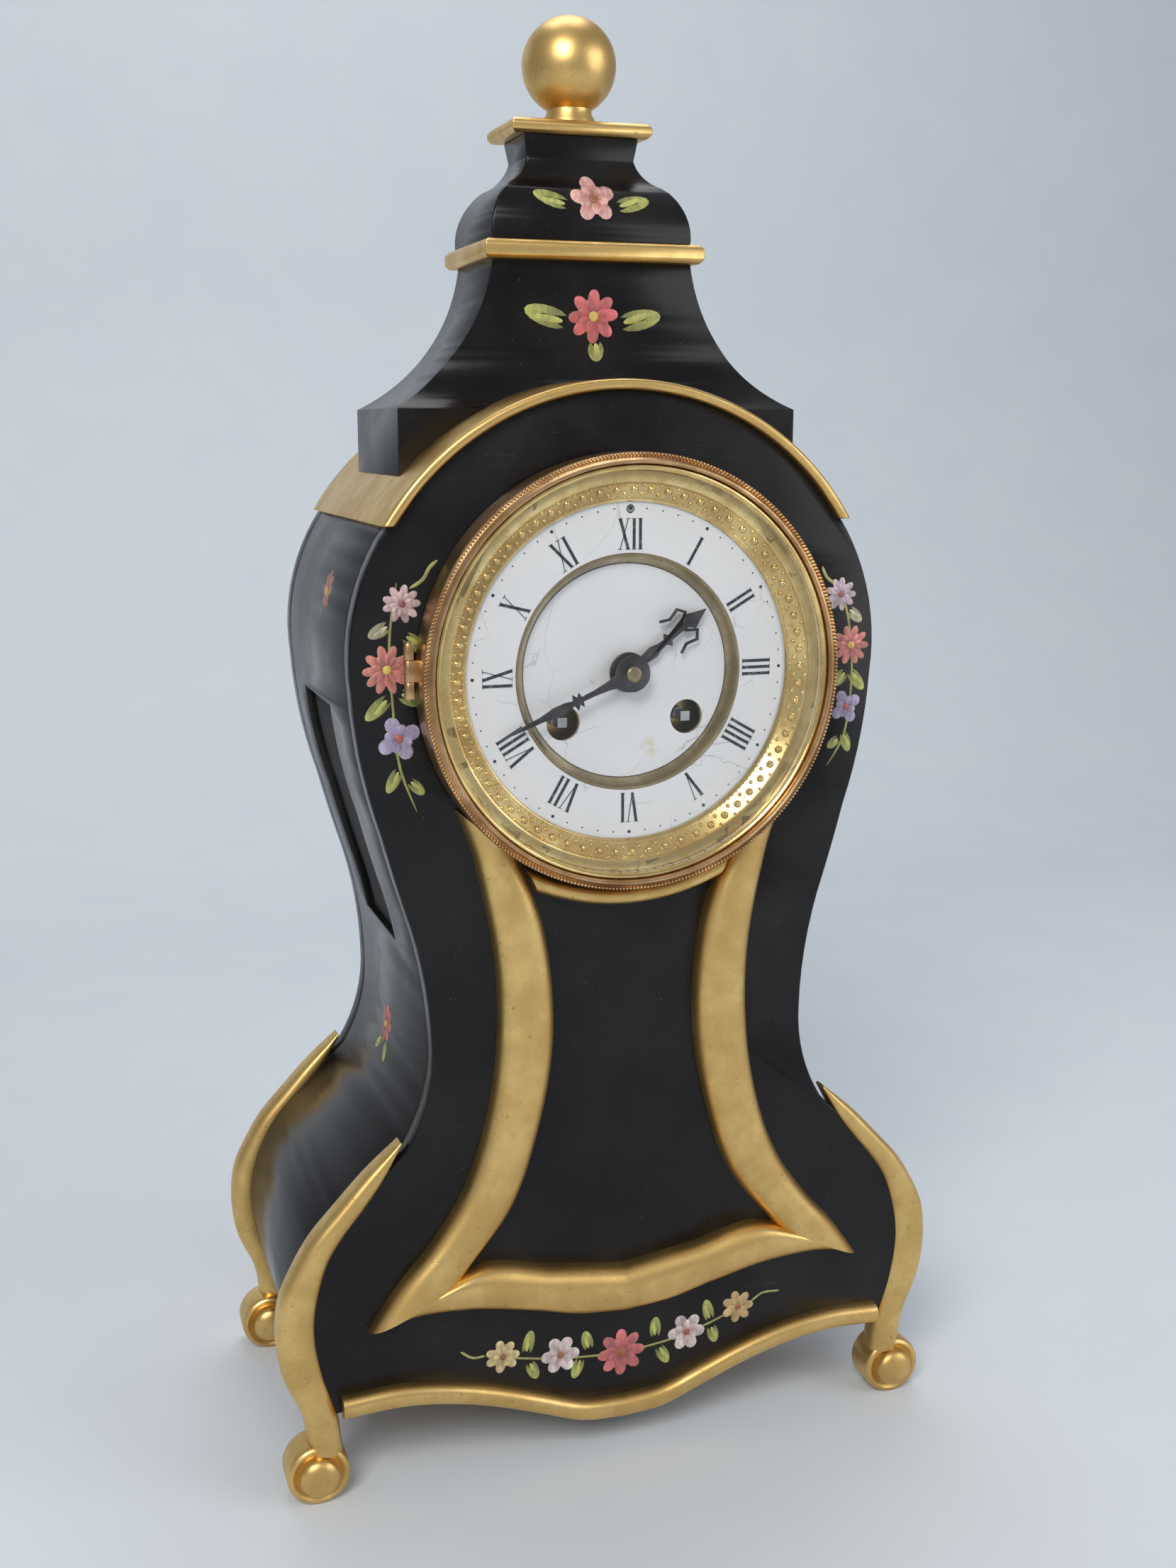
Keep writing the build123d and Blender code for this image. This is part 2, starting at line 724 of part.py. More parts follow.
with BuildPart() as dial_brass_ring:
    turned(
        [
            (centre_disc_radius, -dial_plate_front),
            (centre_disc_radius, -brass_ring_front),
            (chapter_inner, -brass_ring_front),
            (chapter_inner, -dial_plate_front),
        ]
    )
save(dial_brass_ring, "dial_brass_ring")

with BuildPart() as centre_disc:
    rod((0, 0), centre_disc_radius, -centre_front, -dial_plate_front)
    rod((0, 0), 3.4, -centre_front, -dial_plate_front, Mode.SUBTRACT)
    for x in (-winding_half, winding_half):
        rod((x, -winding_drop), winding_hole, -centre_front, -dial_plate_front, Mode.SUBTRACT)
save(centre_disc, "centre_disc")

# Door in the back, with its slots, hinge and knob
door_front = case_depth + door_gap
axis_back = case_depth + door_axis_back
with BuildPart() as back_cover:
    bar((-door_half, door_bottom), (door_half, door_top), door_front, door_thick)
    for z in (-8.0, -24.0, -40.0, -56.0, -72.0):
        bar((-28.0, z - 2.5), (28.0, z + 2.5), door_front, door_thick, Mode.SUBTRACT)
    low = door_knuckles[1] + knuckle_gap
    high = door_knuckles[2] - knuckle_gap
    bar((door_half - 0.5, low), (door_axis_half, high), axis_back - 1.4, door_front + door_thick - axis_back + 1.4)
    knuckle(door_axis_half, axis_back, low, high, pin_radius + running)
save(back_cover, "back_cover")

knob_at = (-40.0, (door_top + door_bottom) / 2)
with BuildPart() as back_cover_knob:
    rod(knob_at, 2.2, door_front + door_thick, door_front + door_thick + 3)
    rod(knob_at, knob_radius, door_front + door_thick + 3, door_front + door_thick + knob_length)
save(back_cover_knob, "back_cover_knob")

with BuildPart() as back_hinge:
    for low, high in ((door_knuckles[0], door_knuckles[1]), (door_knuckles[2], door_knuckles[3])):
        bar((door_axis_half - 1.4, low), (door_axis_half + 7.0, high), case_depth, 1.0)
        bar((door_axis_half - 1.4, low), (door_axis_half + 1.4, high), case_depth, door_axis_back)
        knuckle(door_axis_half, axis_back, low, high, pin_radius)
save(back_hinge, "back_hinge")

# Plates and pillars of the movement
arbors = (
    (barrel_arbor, winding_arbor_radius),
    ((-barrel_arbor[0], barrel_arbor[1]), winding_arbor_radius),
    (second_arbor, arbor_radius),
    (strike_arbor, arbor_radius),
    (centre_arbor, centre_arbor_radius),
    (third_arbor, arbor_radius),
    (escape_arbor, arbor_radius),
    ((0, pivot_height), arbor_radius),
    ((-hammer_half, hammer_height), centre_arbor_radius),
    ((0, regulator_height), regulator_radius),
)
for name, at in (("front_plate", front_plate_at), ("back_plate", back_plate_at)):
    with BuildPart() as plate:
        with BuildSketch(front_plane(at)):
            Rectangle(2 * plate_half, 2 * plate_half)
            with Locations((0, tongue_top / 2 + 5)):
                Rectangle(2 * tongue_half, tongue_top - 10)
            for centre, radius in arbors:
                with Locations(centre):
                    Circle(radius + running, mode=Mode.SUBTRACT)
        extrude(amount=-plate_thick)
        if name == "front_plate":
            rod(minute_arbor, 1.0, 2.6, front_plate_at)
        else:
            bar((-4.0, 39.2), (4.0, 43.0), back_plate_at + plate_thick, 12.0)
    save(plate, name)

pillar = plate_half - pillar_inset
with BuildPart() as plate_pillars:
    for x in (-pillar, pillar):
        for z in (-pillar, pillar):
            rod((x, z), pillar_radius, front_plate_at + plate_thick, back_plate_at)
save(plate_pillars, "plate_pillars")

# Barrels, their winding arbors and the wheels they drive, going side and strike side
module_second = module_of(second_arbor, centre_arbor, second_teeth, centre_pinion)
plate_rear = back_plate_at + plate_thick
for name, side in (("going", 1), ("strike", -1)):
    centre = (side * barrel_arbor[0], barrel_arbor[1])
    second = second_arbor if side > 0 else strike_arbor
    module_first = module_of(centre, second, barrel_teeth, second_pinion)
    aim = angle_to(centre, second)
    with BuildPart() as barrel:
        rod(centre, drum_radius, 14.5, 14.5 + drum_length)
        gear(centre, barrel_teeth, module_first, aim, 31.5, 33.3)
        rod(centre, winding_arbor_radius + running, 14.5, 33.3, Mode.SUBTRACT)
    save(barrel, f"{name}_barrel")
    with BuildPart() as winding_arbor:
        rod(centre, winding_arbor_radius, 5.0, plate_rear)
        bar(
            (centre[0] - winding_square / 2, centre[1] - winding_square / 2),
            (centre[0] + winding_square / 2, centre[1] + winding_square / 2),
            -0.6,
            5.6,
        )
    save(winding_arbor, f"{name}_winding_arbor")
    with BuildPart() as second_wheel:
        rod(second, arbor_radius, front_plate_at, plate_rear)
        gear(second, second_pinion, module_first, angle_to(second, centre) + 180 / second_pinion, 31.0, 34.0)
        module = module_second if side > 0 else strike_module
        gear(second, second_teeth, module, angle_to(second, centre_arbor), 35.5, 35.5 + wheel_thick)
    save(second_wheel, "second_wheel" if side > 0 else "strike_wheel")

module_centre = module_of(centre_arbor, third_arbor, centre_teeth, third_pinion)
module_third = module_of(third_arbor, escape_arbor, third_teeth, escape_pinion)
with BuildPart() as centre_wheel:
    rod(centre_arbor, centre_arbor_radius, -8.0, plate_rear)
    gear(
        centre_arbor,
        centre_pinion,
        module_second,
        angle_to(centre_arbor, second_arbor) + 180 / centre_pinion,
        34.8,
        37.6,
    )
    gear(centre_arbor, centre_teeth, module_centre, angle_to(centre_arbor, third_arbor), 39.0, 39.0 + wheel_thick)
save(centre_wheel, "centre_wheel")

with BuildPart() as third_wheel:
    rod(third_arbor, arbor_radius, front_plate_at, plate_rear)
    gear(
        third_arbor,
        third_pinion,
        module_centre,
        angle_to(third_arbor, centre_arbor) + 180 / third_pinion,
        38.4,
        41.0,
    )
    gear(third_arbor, third_teeth, module_third, angle_to(third_arbor, escape_arbor), 43.0, 43.0 + wheel_thick)
save(third_wheel, "third_wheel")

with BuildPart() as escape_wheel:
    rod(escape_arbor, arbor_radius, front_plate_at, plate_rear)
    gear(
        escape_arbor,
        escape_pinion,
        module_third,
        angle_to(escape_arbor, third_arbor) + 180 / escape_pinion,
        42.4,
        45.0,
    )
    gear(escape_arbor, escape_teeth, 2 * escape_radius / escape_teeth, 90, 47.0, 47.0 + wheel_thick)
save(escape_wheel, "escape_wheel")

# Anchor, its arbor and the crutch that takes the pendulum rod between two pins
pivot = (0, pivot_height)
anchor_points = [(0, 2.4), (4.0, 1.6), (9.4, -4.6), (10.2, -9.6), (8.8, -9.2), (7.6, -5.2), (3.0, -1.8), (0, -2.2)]
with BuildPart() as anchor:
    rod(pivot, arbor_radius, front_plate_at, 57.6)
    with BuildSketch(front_plane(46.8)):
        with BuildLine():
            Polyline(*[(x, pivot_height + z) for x, z in anchor_points], close=True)
        make_face()
        mirror(about=Plane.YZ)
    extrude(amount=-1.8)
    bar((-1.4, pivot_height - 34.0), (1.4, pivot_height + 1.6), 56.2, 1.2)
    for x in (-2.2, 2.2):
        bar((x - 0.6, pivot_height - 34.0), (x + 0.6, pivot_height - 31.0), 56.2, 7.0)
    bar((-2.2, pivot_height - 34.0), (2.2, pivot_height - 31.0), 56.2, 1.2)
save(anchor, "anchor")

# Pendulum: spring and rod in one piece, bob and nut on the rod
bob_height = pivot_height - pendulum_length
nut_top = bob_height - bob_radius
rod_low = nut_top - 9.0
with BuildPart() as pendulum_rod:
    bar((-0.2, pivot_height - 5.0), (0.2, pivot_height + 3.0), pendulum_at - 2.0, 4.0)
    bar((-2.0, pivot_height - 9.0), (2.0, pivot_height - 4.0), pendulum_at - 2.0, 4.0)
    with BuildSketch(Plane(place(0, pendulum_at, rod_low), z_dir=(0, 0, 1))):
        Circle(rod_radius)
    extrude(amount=pivot_height - 8.0 - rod_low)
save(pendulum_rod, "pendulum_rod")

with BuildPart() as pendulum_bob:
    rod((0, bob_height), bob_radius, pendulum_at - bob_thick / 2, pendulum_at + bob_thick / 2)
    with BuildSketch(Plane(place(0, pendulum_at, bob_height - 30), z_dir=(0, 0, 1))):
        Circle(rod_radius + running)
    extrude(amount=60, mode=Mode.SUBTRACT)
save(pendulum_bob, "pendulum_bob")

with BuildPart() as rating_nut:
    with BuildSketch(Plane(place(0, pendulum_at, nut_top - 4.2), z_dir=(0, 0, 1))):
        RegularPolygon(3.6, 12)
        Circle(rod_radius + running, mode=Mode.SUBTRACT)
    extrude(amount=4.0)
save(rating_nut, "rating_nut")

# Bell on its stand, and the hammer
gong_back = gong_mouth_at + gong_depth
gong_plane = Plane(origin=place(0, 0, bell_height), x_dir=(1, 0, 0), z_dir=(0, 0, 1))
with BuildPart() as bell:
    with BuildSketch(gong_plane):
        with BuildLine():
            Polyline(
                (gong_radius - gong_wall, gong_mouth_at),
                (gong_radius, gong_mouth_at),
                (gong_radius, gong_back),
                (2.0, gong_back),
                (2.0, gong_back - gong_wall),
                (gong_radius - gong_wall, gong_back - gong_wall),
                close=True,
            )
        make_face()
    revolve(axis=Axis(place(0, 0, bell_height), (0, 1, 0)))
save(bell, "bell")

stand_foot = (33.4, 31.0)
with BuildPart() as bell_stand:
    rod(stand_foot, 2.2, plate_rear, gong_back + 2.0)
    with BuildSketch(front_plane(gong_back)):
        with BuildLine():
            Polyline(
                (-2.6, bell_height + 2.6),
                (-2.6, bell_height - 2.6),
                (2.0, bell_height - 2.8),
                (stand_foot[0] + 2.0, stand_foot[1] - 2.6),
                (stand_foot[0] + 2.0, stand_foot[1] + 2.6),
                (stand_foot[0] - 2.0, stand_foot[1] + 2.6),
                close=True,
            )
        make_face()
    extrude(amount=-2.0)
    rod((0, bell_height), 1.9, gong_back - gong_wall - 2.0, gong_back)
save(bell_stand, "bell_stand")

hammer_at = (-hammer_half, hammer_height)
head_at = (-hammer_half - 1.0, hammer_height + 20.0)
with BuildPart() as hammer:
    rod(hammer_at, centre_arbor_radius, front_plate_at, 77.0)
    bar((head_at[0] - 1.0, hammer_height - 1.8), (head_at[0] + 2.2, hammer_height + 1.8), 73.0, 2.0)
    bar((head_at[0] - 1.0, hammer_height), (head_at[0] + 1.0, head_at[1]), 73.0, 2.0)
    bar((head_at[0] - 2.6, head_at[1] - 3.0), (head_at[0] + 2.6, head_at[1] + 3.0), 71.4, 5.2)
    bar((-hammer_half, hammer_height - 1.2), (-hammer_half + 5.4, hammer_height + 1.2), 45.0, 1.4)
save(hammer, "hammer")

with BuildPart() as regulator_arbor:
    rod((0, regulator_height), regulator_radius, -chapter_front + 0.4, plate_rear + 6.0)
    rod((0, regulator_height), 3.0, plate_rear + 2.0, plate_rear + 5.0)
save(regulator_arbor, "regulator_arbor")

# Motion work and hands
module_cannon = module_of(centre_arbor, minute_arbor, cannon_teeth, minute_teeth)
module_hour = module_of(centre_arbor, minute_arbor, hour_teeth, minute_pinion)
with BuildPart() as cannon_pinion:
    gear(centre_arbor, cannon_teeth, module_cannon, angle_to(centre_arbor, minute_arbor), 6.4, 8.4)
    rod(centre_arbor, 1.7, -minute_hand_front + hand_thick, 6.4)
    rod(centre_arbor, 1.35, -minute_hand_front, -minute_hand_front + hand_thick)
    rod(centre_arbor, centre_arbor_radius + running, -minute_hand_front, 8.4, Mode.SUBTRACT)
save(cannon_pinion, "cannon_pinion")

with BuildPart() as minute_wheel:
    aim = angle_to(minute_arbor, centre_arbor)
    gear(minute_arbor, minute_teeth, module_cannon, aim + 180 / minute_teeth, 6.6, 8.2)
    gear(minute_arbor, minute_pinion, module_hour, aim, 3.4, 6.6)
    rod(minute_arbor, 1.0 + running, 3.0, 9.0, Mode.SUBTRACT)
save(minute_wheel, "minute_wheel")

with BuildPart() as hour_wheel:
    aim = angle_to(centre_arbor, minute_arbor)
    gear(centre_arbor, hour_teeth, module_hour, aim + 180 / hour_teeth, 3.8, 5.2)
    rod(centre_arbor, 2.6, -hour_hand_front + hand_thick, 3.8)
    rod(centre_arbor, 2.2, -hour_hand_front, -hour_hand_front + hand_thick)
    rod(centre_arbor, 1.7 + running, -hour_hand_front, 5.2, Mode.SUBTRACT)
save(hour_wheel, "hour_wheel")

hour_shape = [(1.4, 5.0), (2.0, 10.4), (1.2, 12.8), (0.9, 15.4), (2.6, 16.6), (0.9, 17.8), (0.8, 21.4)]
hour_tip = [(1.0, 24.6), (2.9, 26.2), (1.6, 29.0), (0, 32.8)]
loop_points = [(1.0, 22.8), (3.6, 26.4), (6.0, 24.6), (4.9, 20.8), (6.4, 17.6)]
with BuildPart() as hour_hand:
    with BuildSketch(front_plane(-hour_hand_front)):
        Circle(6.4)
        with BuildLine():
            right = hour_shape + hour_tip
            Polyline(*[turn(p, -hour_angle) for p in right + [(-x, z) for x, z in reversed(right[:-1])]], close=True)
        make_face()
        for side in (-1, 1):
            with BuildLine() as loop:
                Polyline(*[turn((side * x, z), -hour_angle) for x, z in loop_points])
            trace(loop.line, 0.9)
        Circle(2.2, mode=Mode.SUBTRACT)
    extrude(amount=-hand_thick)
save(hour_hand, "hour_hand")

minute_shape = [(2.2, 4.6), (1.4, 9.0), (0.9, 14.0), (0.8, 18.2), (2.6, 18.6), (1.2, 19.6), (2.8, 20.8), (0.8, 21.4)]
minute_tip = [(1.5, 24.0), (1.7, 28.0), (0.9, 33.0), (0.6, 40.0), (0, 48.6)]
with BuildPart() as minute_hand:
    with BuildSketch(front_plane(-minute_hand_front)):
        Circle(5.8)
        with BuildLine():
            right = minute_shape + minute_tip
            Polyline(*[turn(p, -minute_angle) for p in right + [(-x, z) for x, z in reversed(right[:-1])]], close=True)
        make_face()
        Circle(1.35, mode=Mode.SUBTRACT)
    extrude(amount=-hand_thick)
save(minute_hand, "minute_hand")

with BuildPart() as hand_nut:
    rod(centre_arbor, 2.7, -minute_hand_front - 1.6, -minute_hand_front)
    chamfer(edges().group_by(Axis.Y)[0], length=0.6)
save(hand_nut, "hand_nut")
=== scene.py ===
# %% [markdown]
# A mantel clock in the studio. The solid pieces of the clock come ready made, at their real size and
# place, and this file dresses them: it gives every piece its finish, and it builds the shapes that a
# carver, a founder or a painter adds by hand. The frame must be loaded first, because every later
# piece takes its place from it.

# %% Load the frame
import json
import math

import bmesh
import bpy
import numpy as np
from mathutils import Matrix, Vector


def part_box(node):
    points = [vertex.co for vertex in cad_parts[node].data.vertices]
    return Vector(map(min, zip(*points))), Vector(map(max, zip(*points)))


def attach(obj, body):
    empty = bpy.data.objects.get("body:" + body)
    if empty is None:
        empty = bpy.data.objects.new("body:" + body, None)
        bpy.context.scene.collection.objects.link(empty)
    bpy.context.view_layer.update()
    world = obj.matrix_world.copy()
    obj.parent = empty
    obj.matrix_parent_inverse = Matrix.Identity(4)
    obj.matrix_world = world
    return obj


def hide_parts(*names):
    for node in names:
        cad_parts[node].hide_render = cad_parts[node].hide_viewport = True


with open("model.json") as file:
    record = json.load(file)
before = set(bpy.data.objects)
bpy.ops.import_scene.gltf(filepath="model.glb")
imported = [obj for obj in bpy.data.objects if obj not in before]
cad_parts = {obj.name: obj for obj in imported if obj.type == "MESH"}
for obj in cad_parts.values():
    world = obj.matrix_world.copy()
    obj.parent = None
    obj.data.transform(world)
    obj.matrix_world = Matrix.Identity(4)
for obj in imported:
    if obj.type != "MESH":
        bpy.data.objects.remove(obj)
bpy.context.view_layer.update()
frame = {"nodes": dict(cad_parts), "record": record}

# %% [markdown]
# A maker measures a clock from the middle of its dial. These helpers turn places given in millimetres
# beside, behind and above the dial's centre into metres in the shared frame. The dial's centre is read
# from the chapter ring, and the face of the front board from the board itself, so nothing is fitted.

# %% Places measured from the dial
MM = 0.001
ring_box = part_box("chapter_ring")
DIAL_X = (ring_box[0][0] + ring_box[1][0]) / 2
DIAL_Z = (ring_box[0][2] + ring_box[1][2]) / 2
FACE_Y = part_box("front_board")[0][1]
FLOOR_BELOW = DIAL_Z / MM


def place(x, behind, height):
    """Metres in the frame, from millimetres beside, behind and above the dial's centre (arrays allowed)."""
    x, behind, height = np.broadcast_arrays(x, behind, height)
    return np.stack([DIAL_X + x * MM, FACE_Y + behind * MM, DIAL_Z + height * MM], axis=-1)


print("dial centre %.4f m above the floor, front face at y %.4f" % (DIAL_Z, FACE_Y))

# %% [markdown]
# A finish is a small sum over noise and position. Written out as nodes such sums are hard
# to read, so one class wraps a socket and lets Python's own operators add the Math nodes.

# %% Shader maths as Python
class Value:
    """One output socket of a material's node tree, with arithmetic."""

    def __init__(self, tree, socket):
        self.tree = tree
        self.socket = socket

    def node(self, kind, settings=None, inputs=None, output=0):
        """Any other node: its type, its settings first, then the values or links of its sockets."""
        made = self.tree.nodes.new(kind)
        for name, setting in (settings or {}).items():
            setattr(made, name, setting)
        for name, given in (inputs or {}).items():
            if isinstance(given, Value):
                self.tree.links.new(given.socket, made.inputs[name])
            else:
                made.inputs[name].default_value = given
        return Value(self.tree, made.outputs[output])

    def maths(self, operation, *others):
        inputs = {0: self}
        for i, other in enumerate(others):
            inputs[i + 1] = other
        return self.node("ShaderNodeMath", {"operation": operation}, inputs)

    def __add__(self, other):
        return self.maths("ADD", other)

    __radd__ = __add__

    def __mul__(self, other):
        return self.maths("MULTIPLY", other)

    __rmul__ = __mul__

    def __sub__(self, other):
        return self.maths("SUBTRACT", other)

    def __rsub__(self, other):
        return (self * -1.0).maths("ADD", other)

    def step(self, low, high):
        """Runs from 0 to 1 as the value runs from low to high, and stays level outside."""
        return self.node(
            "ShaderNodeMapRange",
            {"interpolation_type": "SMOOTHSTEP"},
            {"Value": self, "From Min": low, "From Max": high, "To Min": 0.0, "To Max": 1.0},
        )

    def mix(self, low, high):
        """Two colours mixed by this value; each may be a tuple or another socket."""
        inputs = {0: self, 6: full(low), 7: full(high)}
        return self.node("ShaderNodeMix", {"data_type": "RGBA"}, inputs, output=2)


def full(colour):
    """A colour with its alpha, or a socket as it is."""
    return colour if isinstance(colour, Value) else (*colour[:3], 1.0)


def new_finish(name):
    """A bare material: its Principled shader and its object coordinates in millimetres."""
    material = bpy.data.materials.new(name)
    material.use_nodes = True
    tree = material.node_tree
    shader = tree.nodes["Principled BSDF"]
    coordinates = tree.nodes.new("ShaderNodeTexCoord")
    return material, shader, Value(tree, coordinates.outputs["Object"])


def noise(where, size_mm, detail=3.0, rough=0.5, distortion=0.0):
    """Cloudy noise whose patches are about size_mm wide."""
    inputs = {"Vector": where, "Scale": 1 / (size_mm * MM), "Detail": detail, "Roughness": rough}
    return where.node("ShaderNodeTexNoise", {}, {**inputs, "Distortion": distortion})


def stretched(where, x, y, z):
    """The same coordinates with each axis scaled, so that patterns turn into streaks."""
    return where.node("ShaderNodeMapping", {}, {"Vector": where, "Scale": (x, y, z)})


def set_finish(shader, **values):
    """Sockets of the Principled shader, by name with underscores for spaces."""
    tree = shader.id_data
    for name, given in values.items():
        socket = shader.inputs[name.replace("_", " ")]
        if isinstance(given, Value):
            tree.links.new(given.socket, socket)
        else:
            socket.default_value = given


def bump(where, height, strength, depth_mm):
    """Relief from a height value, ready for a Normal socket."""
    return where.node(
        "ShaderNodeBump", {}, {"Height": height, "Strength": strength, "Distance": depth_mm * MM}
    )


finishes = {}

# %% [markdown]
# The case is ebonised wood under old French polish: nearly black, with a deep soft gloss, hairline
# scratches that catch the light and pale specks of dust and chips. Three scales of noise make it: broad
# cloud for the polish, stretched noise for the grain and scratches, and rare bright points for specks.

# %% Black polished wood
def black_wood():
    material, shader, where = new_finish("black_wood")
    cloud = noise(where, 35, 4)
    grain = noise(stretched(where, 1.0, 1.0, 0.08), 1.6, 5, 0.6)
    scratch = noise(stretched(where, 0.06, 1.0, 1.0), 0.9, 3, 0.7, 0.6).step(0.66, 0.74)
    specks = noise(where, 1.1, 2, 0.8).step(0.71, 0.78)
    worn = scratch * cloud.step(0.45, 0.7)
    base = cloud.step(0.3, 0.75).mix((0.004, 0.0035, 0.004), (0.011, 0.010, 0.0095))
    base = (worn * 0.5).mix(base, (0.07, 0.065, 0.06))
    base = (specks * 0.65).mix(base, (0.16, 0.14, 0.12))
    set_finish(
        shader,
        Base_Color=base,
        Roughness=cloud.step(0.25, 0.8) * 0.16 + grain * 0.06 + worn * 0.1 + 0.16,
        Specular_IOR_Level=0.26,
        Normal=bump(where, grain * 0.5 + worn * -0.6 + specks * 0.5, 0.25, 0.05),
    )
    return material


finishes["black_wood"] = black_wood()
print("finish: black_wood")

# %% [markdown]
# The mouldings, scroll feet and rings are gilded brass. Old gilding keeps its colour in the hollows,
# shows a browner metal where hands and dusters rub, and has a fine cast grain. The finish mixes a bright
# and a dull gold by noise, darkens the pits, and roughens where the gilding is dull.

# %% Worn gilding
def gilt(name, bright, dull, pit, rough_low, rough_high, relief_mm, grain_mm):
    material, shader, where = new_finish(name)
    cloud = noise(where, 14, 4, 0.6)
    fine = noise(where, grain_mm, 4, 0.65)
    rubbed = noise(where, 4.5, 3, 0.6).step(0.5, 0.68)
    pits = noise(where, 1.6, 2, 0.5).step(0.66, 0.75)
    base = cloud.step(0.35, 0.68).mix(dull, bright)
    base = (rubbed * 0.25).mix(base, dull)
    base = (pits * 0.45).mix(base, pit)
    roughness = cloud.step(0.3, 0.7) * (rough_low - rough_high) + rough_high + pits * 0.15
    set_finish(
        shader,
        Base_Color=base,
        Metallic=1.0,
        Roughness=roughness,
        Normal=bump(where, fine + pits * -0.8, 0.4, relief_mm),
    )
    return material


for metal in (
    ("gilt", (0.80, 0.55, 0.21), (0.64, 0.42, 0.15), (0.22, 0.12, 0.04), 0.33, 0.44, 0.07, 0.8),
    ("gilt_bright", (0.93, 0.72, 0.33), (0.66, 0.46, 0.18), (0.22, 0.13, 0.05), 0.16, 0.3, 0.05, 0.6),
    ("gilt_coppery", (0.68, 0.45, 0.24), (0.40, 0.24, 0.11), (0.12, 0.07, 0.03), 0.26, 0.42, 0.06, 0.7),
    # dark_brass is brass with a darker colour; on the dial's brass ring it is painted reflection, the dark
    # grey that the bright ring mirrors put into its colour.
    ("dark_brass", (0.46, 0.38, 0.24), (0.30, 0.24, 0.14), (0.14, 0.10, 0.05), 0.25, 0.38, 0.03, 0.5),
    ("brass", (0.80, 0.62, 0.28), (0.62, 0.45, 0.18), (0.3, 0.2, 0.08), 0.24, 0.36, 0.03, 0.5),
    ("bell_metal", (0.78, 0.64, 0.40), (0.62, 0.48, 0.27), (0.35, 0.24, 0.12), 0.2, 0.34, 0.02, 0.5),
):
    finishes[metal[0]] = gilt(*metal)
print("finishes:", ", ".join(sorted(finishes)))

# %% [markdown]
# The dial is glazed enamel on copper. It is white with a faint blue, very smooth, with hair cracks and
# a brown stain low on the right of the middle. The cracks are the thin borders of Voronoi cells, kept
# only where a broad noise says so, as real cracks run in a few places and not all over.

# %% Enamel
STAIN_AT = (8.4, -25.0)


def enamel():
    material, shader, where = new_finish("enamel")
    shift = {0: noise(where, 9, 3), "Scale": 0.006}
    wander = where.node("ShaderNodeVectorMath", {"operation": "SCALE"}, shift)
    bent = where.node("ShaderNodeVectorMath", {"operation": "ADD"}, {0: where, 1: wander})
    edges = where.node(
        "ShaderNodeTexVoronoi", {"feature": "DISTANCE_TO_EDGE"}, {"Vector": bent, "Scale": 1 / (19 * MM)}
    )
    crack = 1 - edges.step(0.0, 0.012)
    crack = crack * noise(where, 22, 2).step(0.5, 0.62)
    spot = (DIAL_X + STAIN_AT[0] * MM, FACE_Y, DIAL_Z + STAIN_AT[1] * MM)
    away = where.node("ShaderNodeVectorMath", {"operation": "DISTANCE"}, {0: where, 1: spot}, output=1)
    stain = (1 - away.step(1.5 * MM, 5.0 * MM)) * noise(where, 2.5, 4).step(0.3, 0.6)
    cloud = noise(where, 18, 3)
    base = cloud.mix((0.76, 0.77, 0.80), (0.86, 0.86, 0.86))
    base = (stain * 0.6).mix(base, (0.66, 0.54, 0.30))
    base = (crack * 0.55).mix(base, (0.36, 0.33, 0.32))
    set_finish(
        shader,
        Base_Color=base,
        Roughness=cloud * 0.08 + 0.1 + crack * 0.2,
        Coat_Weight=0.4,
        Coat_Roughness=0.05,
        Normal=bump(where, noise(where, 7, 2) - crack * 0.4, 0.12, 0.2),
    )
    return material


finishes["enamel"] = enamel()
print("finish: enamel")

# %% [markdown]
# The figures and dots are fired into the enamel in black, worn thin in places. The painted flowers are
# oil colours: each petal carries its colour as an attribute of its points, and the finish only adds
# brush cloud and a little gloss.

# %% Dial black, and painters' colours
def fired_black():
    material, shader, where = new_finish("fired_black")
    thin = noise(where, 2.2, 4, 0.7).step(0.5, 0.72)
    base = (thin * 0.5).mix((0.02, 0.02, 0.025), (0.30, 0.30, 0.32))
    set_finish(shader, Base_Color=base, Roughness=thin * 0.2 + 0.22, Normal=bump(where, thin, 0.1, 0.05))
    return material


def painted():
    material, shader, where = new_finish("painted_flowers")
    colour = where.node("ShaderNodeAttribute", {"attribute_name": "paint"})
    brush = noise(stretched(where, 1.0, 1.0, 0.35), 1.5, 4, 0.6)
    base = (brush.step(0.3, 0.7) * 0.45 + 0.1).mix(colour, (0.10, 0.07, 0.06))
    set_finish(shader, Base_Color=base, Roughness=brush * 0.2 + 0.34, Normal=bump(where, brush, 0.35, 0.12))
    return material


finishes["fired_black"] = fired_black()
finishes["painted_flowers"] = painted()

# %% [markdown]
# The glass is thin and clear. In a bezel only its reflections are seen, so the shader lets most light
# straight through and adds a faint mirror that grows at glancing angles, with a little smear.

# %% Glass
def glass():
    material, shader, where = new_finish("glass")
    tree = material.node_tree
    smear = noise(where, 25, 4)
    set_finish(shader, Base_Color=(0.9, 0.93, 0.93, 1), Roughness=smear * 0.05 + 0.02, IOR=1.45)
    clear = tree.nodes.new("ShaderNodeBsdfTransparent")
    glance = where.node("ShaderNodeFresnel", {}, {"IOR": 1.3}).maths("MULTIPLY", 0.8)
    through, mirror = Value(tree, clear.outputs[0]), Value(tree, shader.outputs[0])
    both = where.node("ShaderNodeMixShader", {}, {0: glance, 1: through, 2: mirror})
    tree.links.new(both.socket, tree.nodes["Material Output"].inputs["Surface"])
    return material


finishes["glass"] = glass()

# %% [markdown]
# The hands are dark steel, the arbors plain steel. Both are drawn or filed, so their fine lines run one
# way. The cloth behind the side windows is a plain weave, two crossed waves in the cloth's own plane.

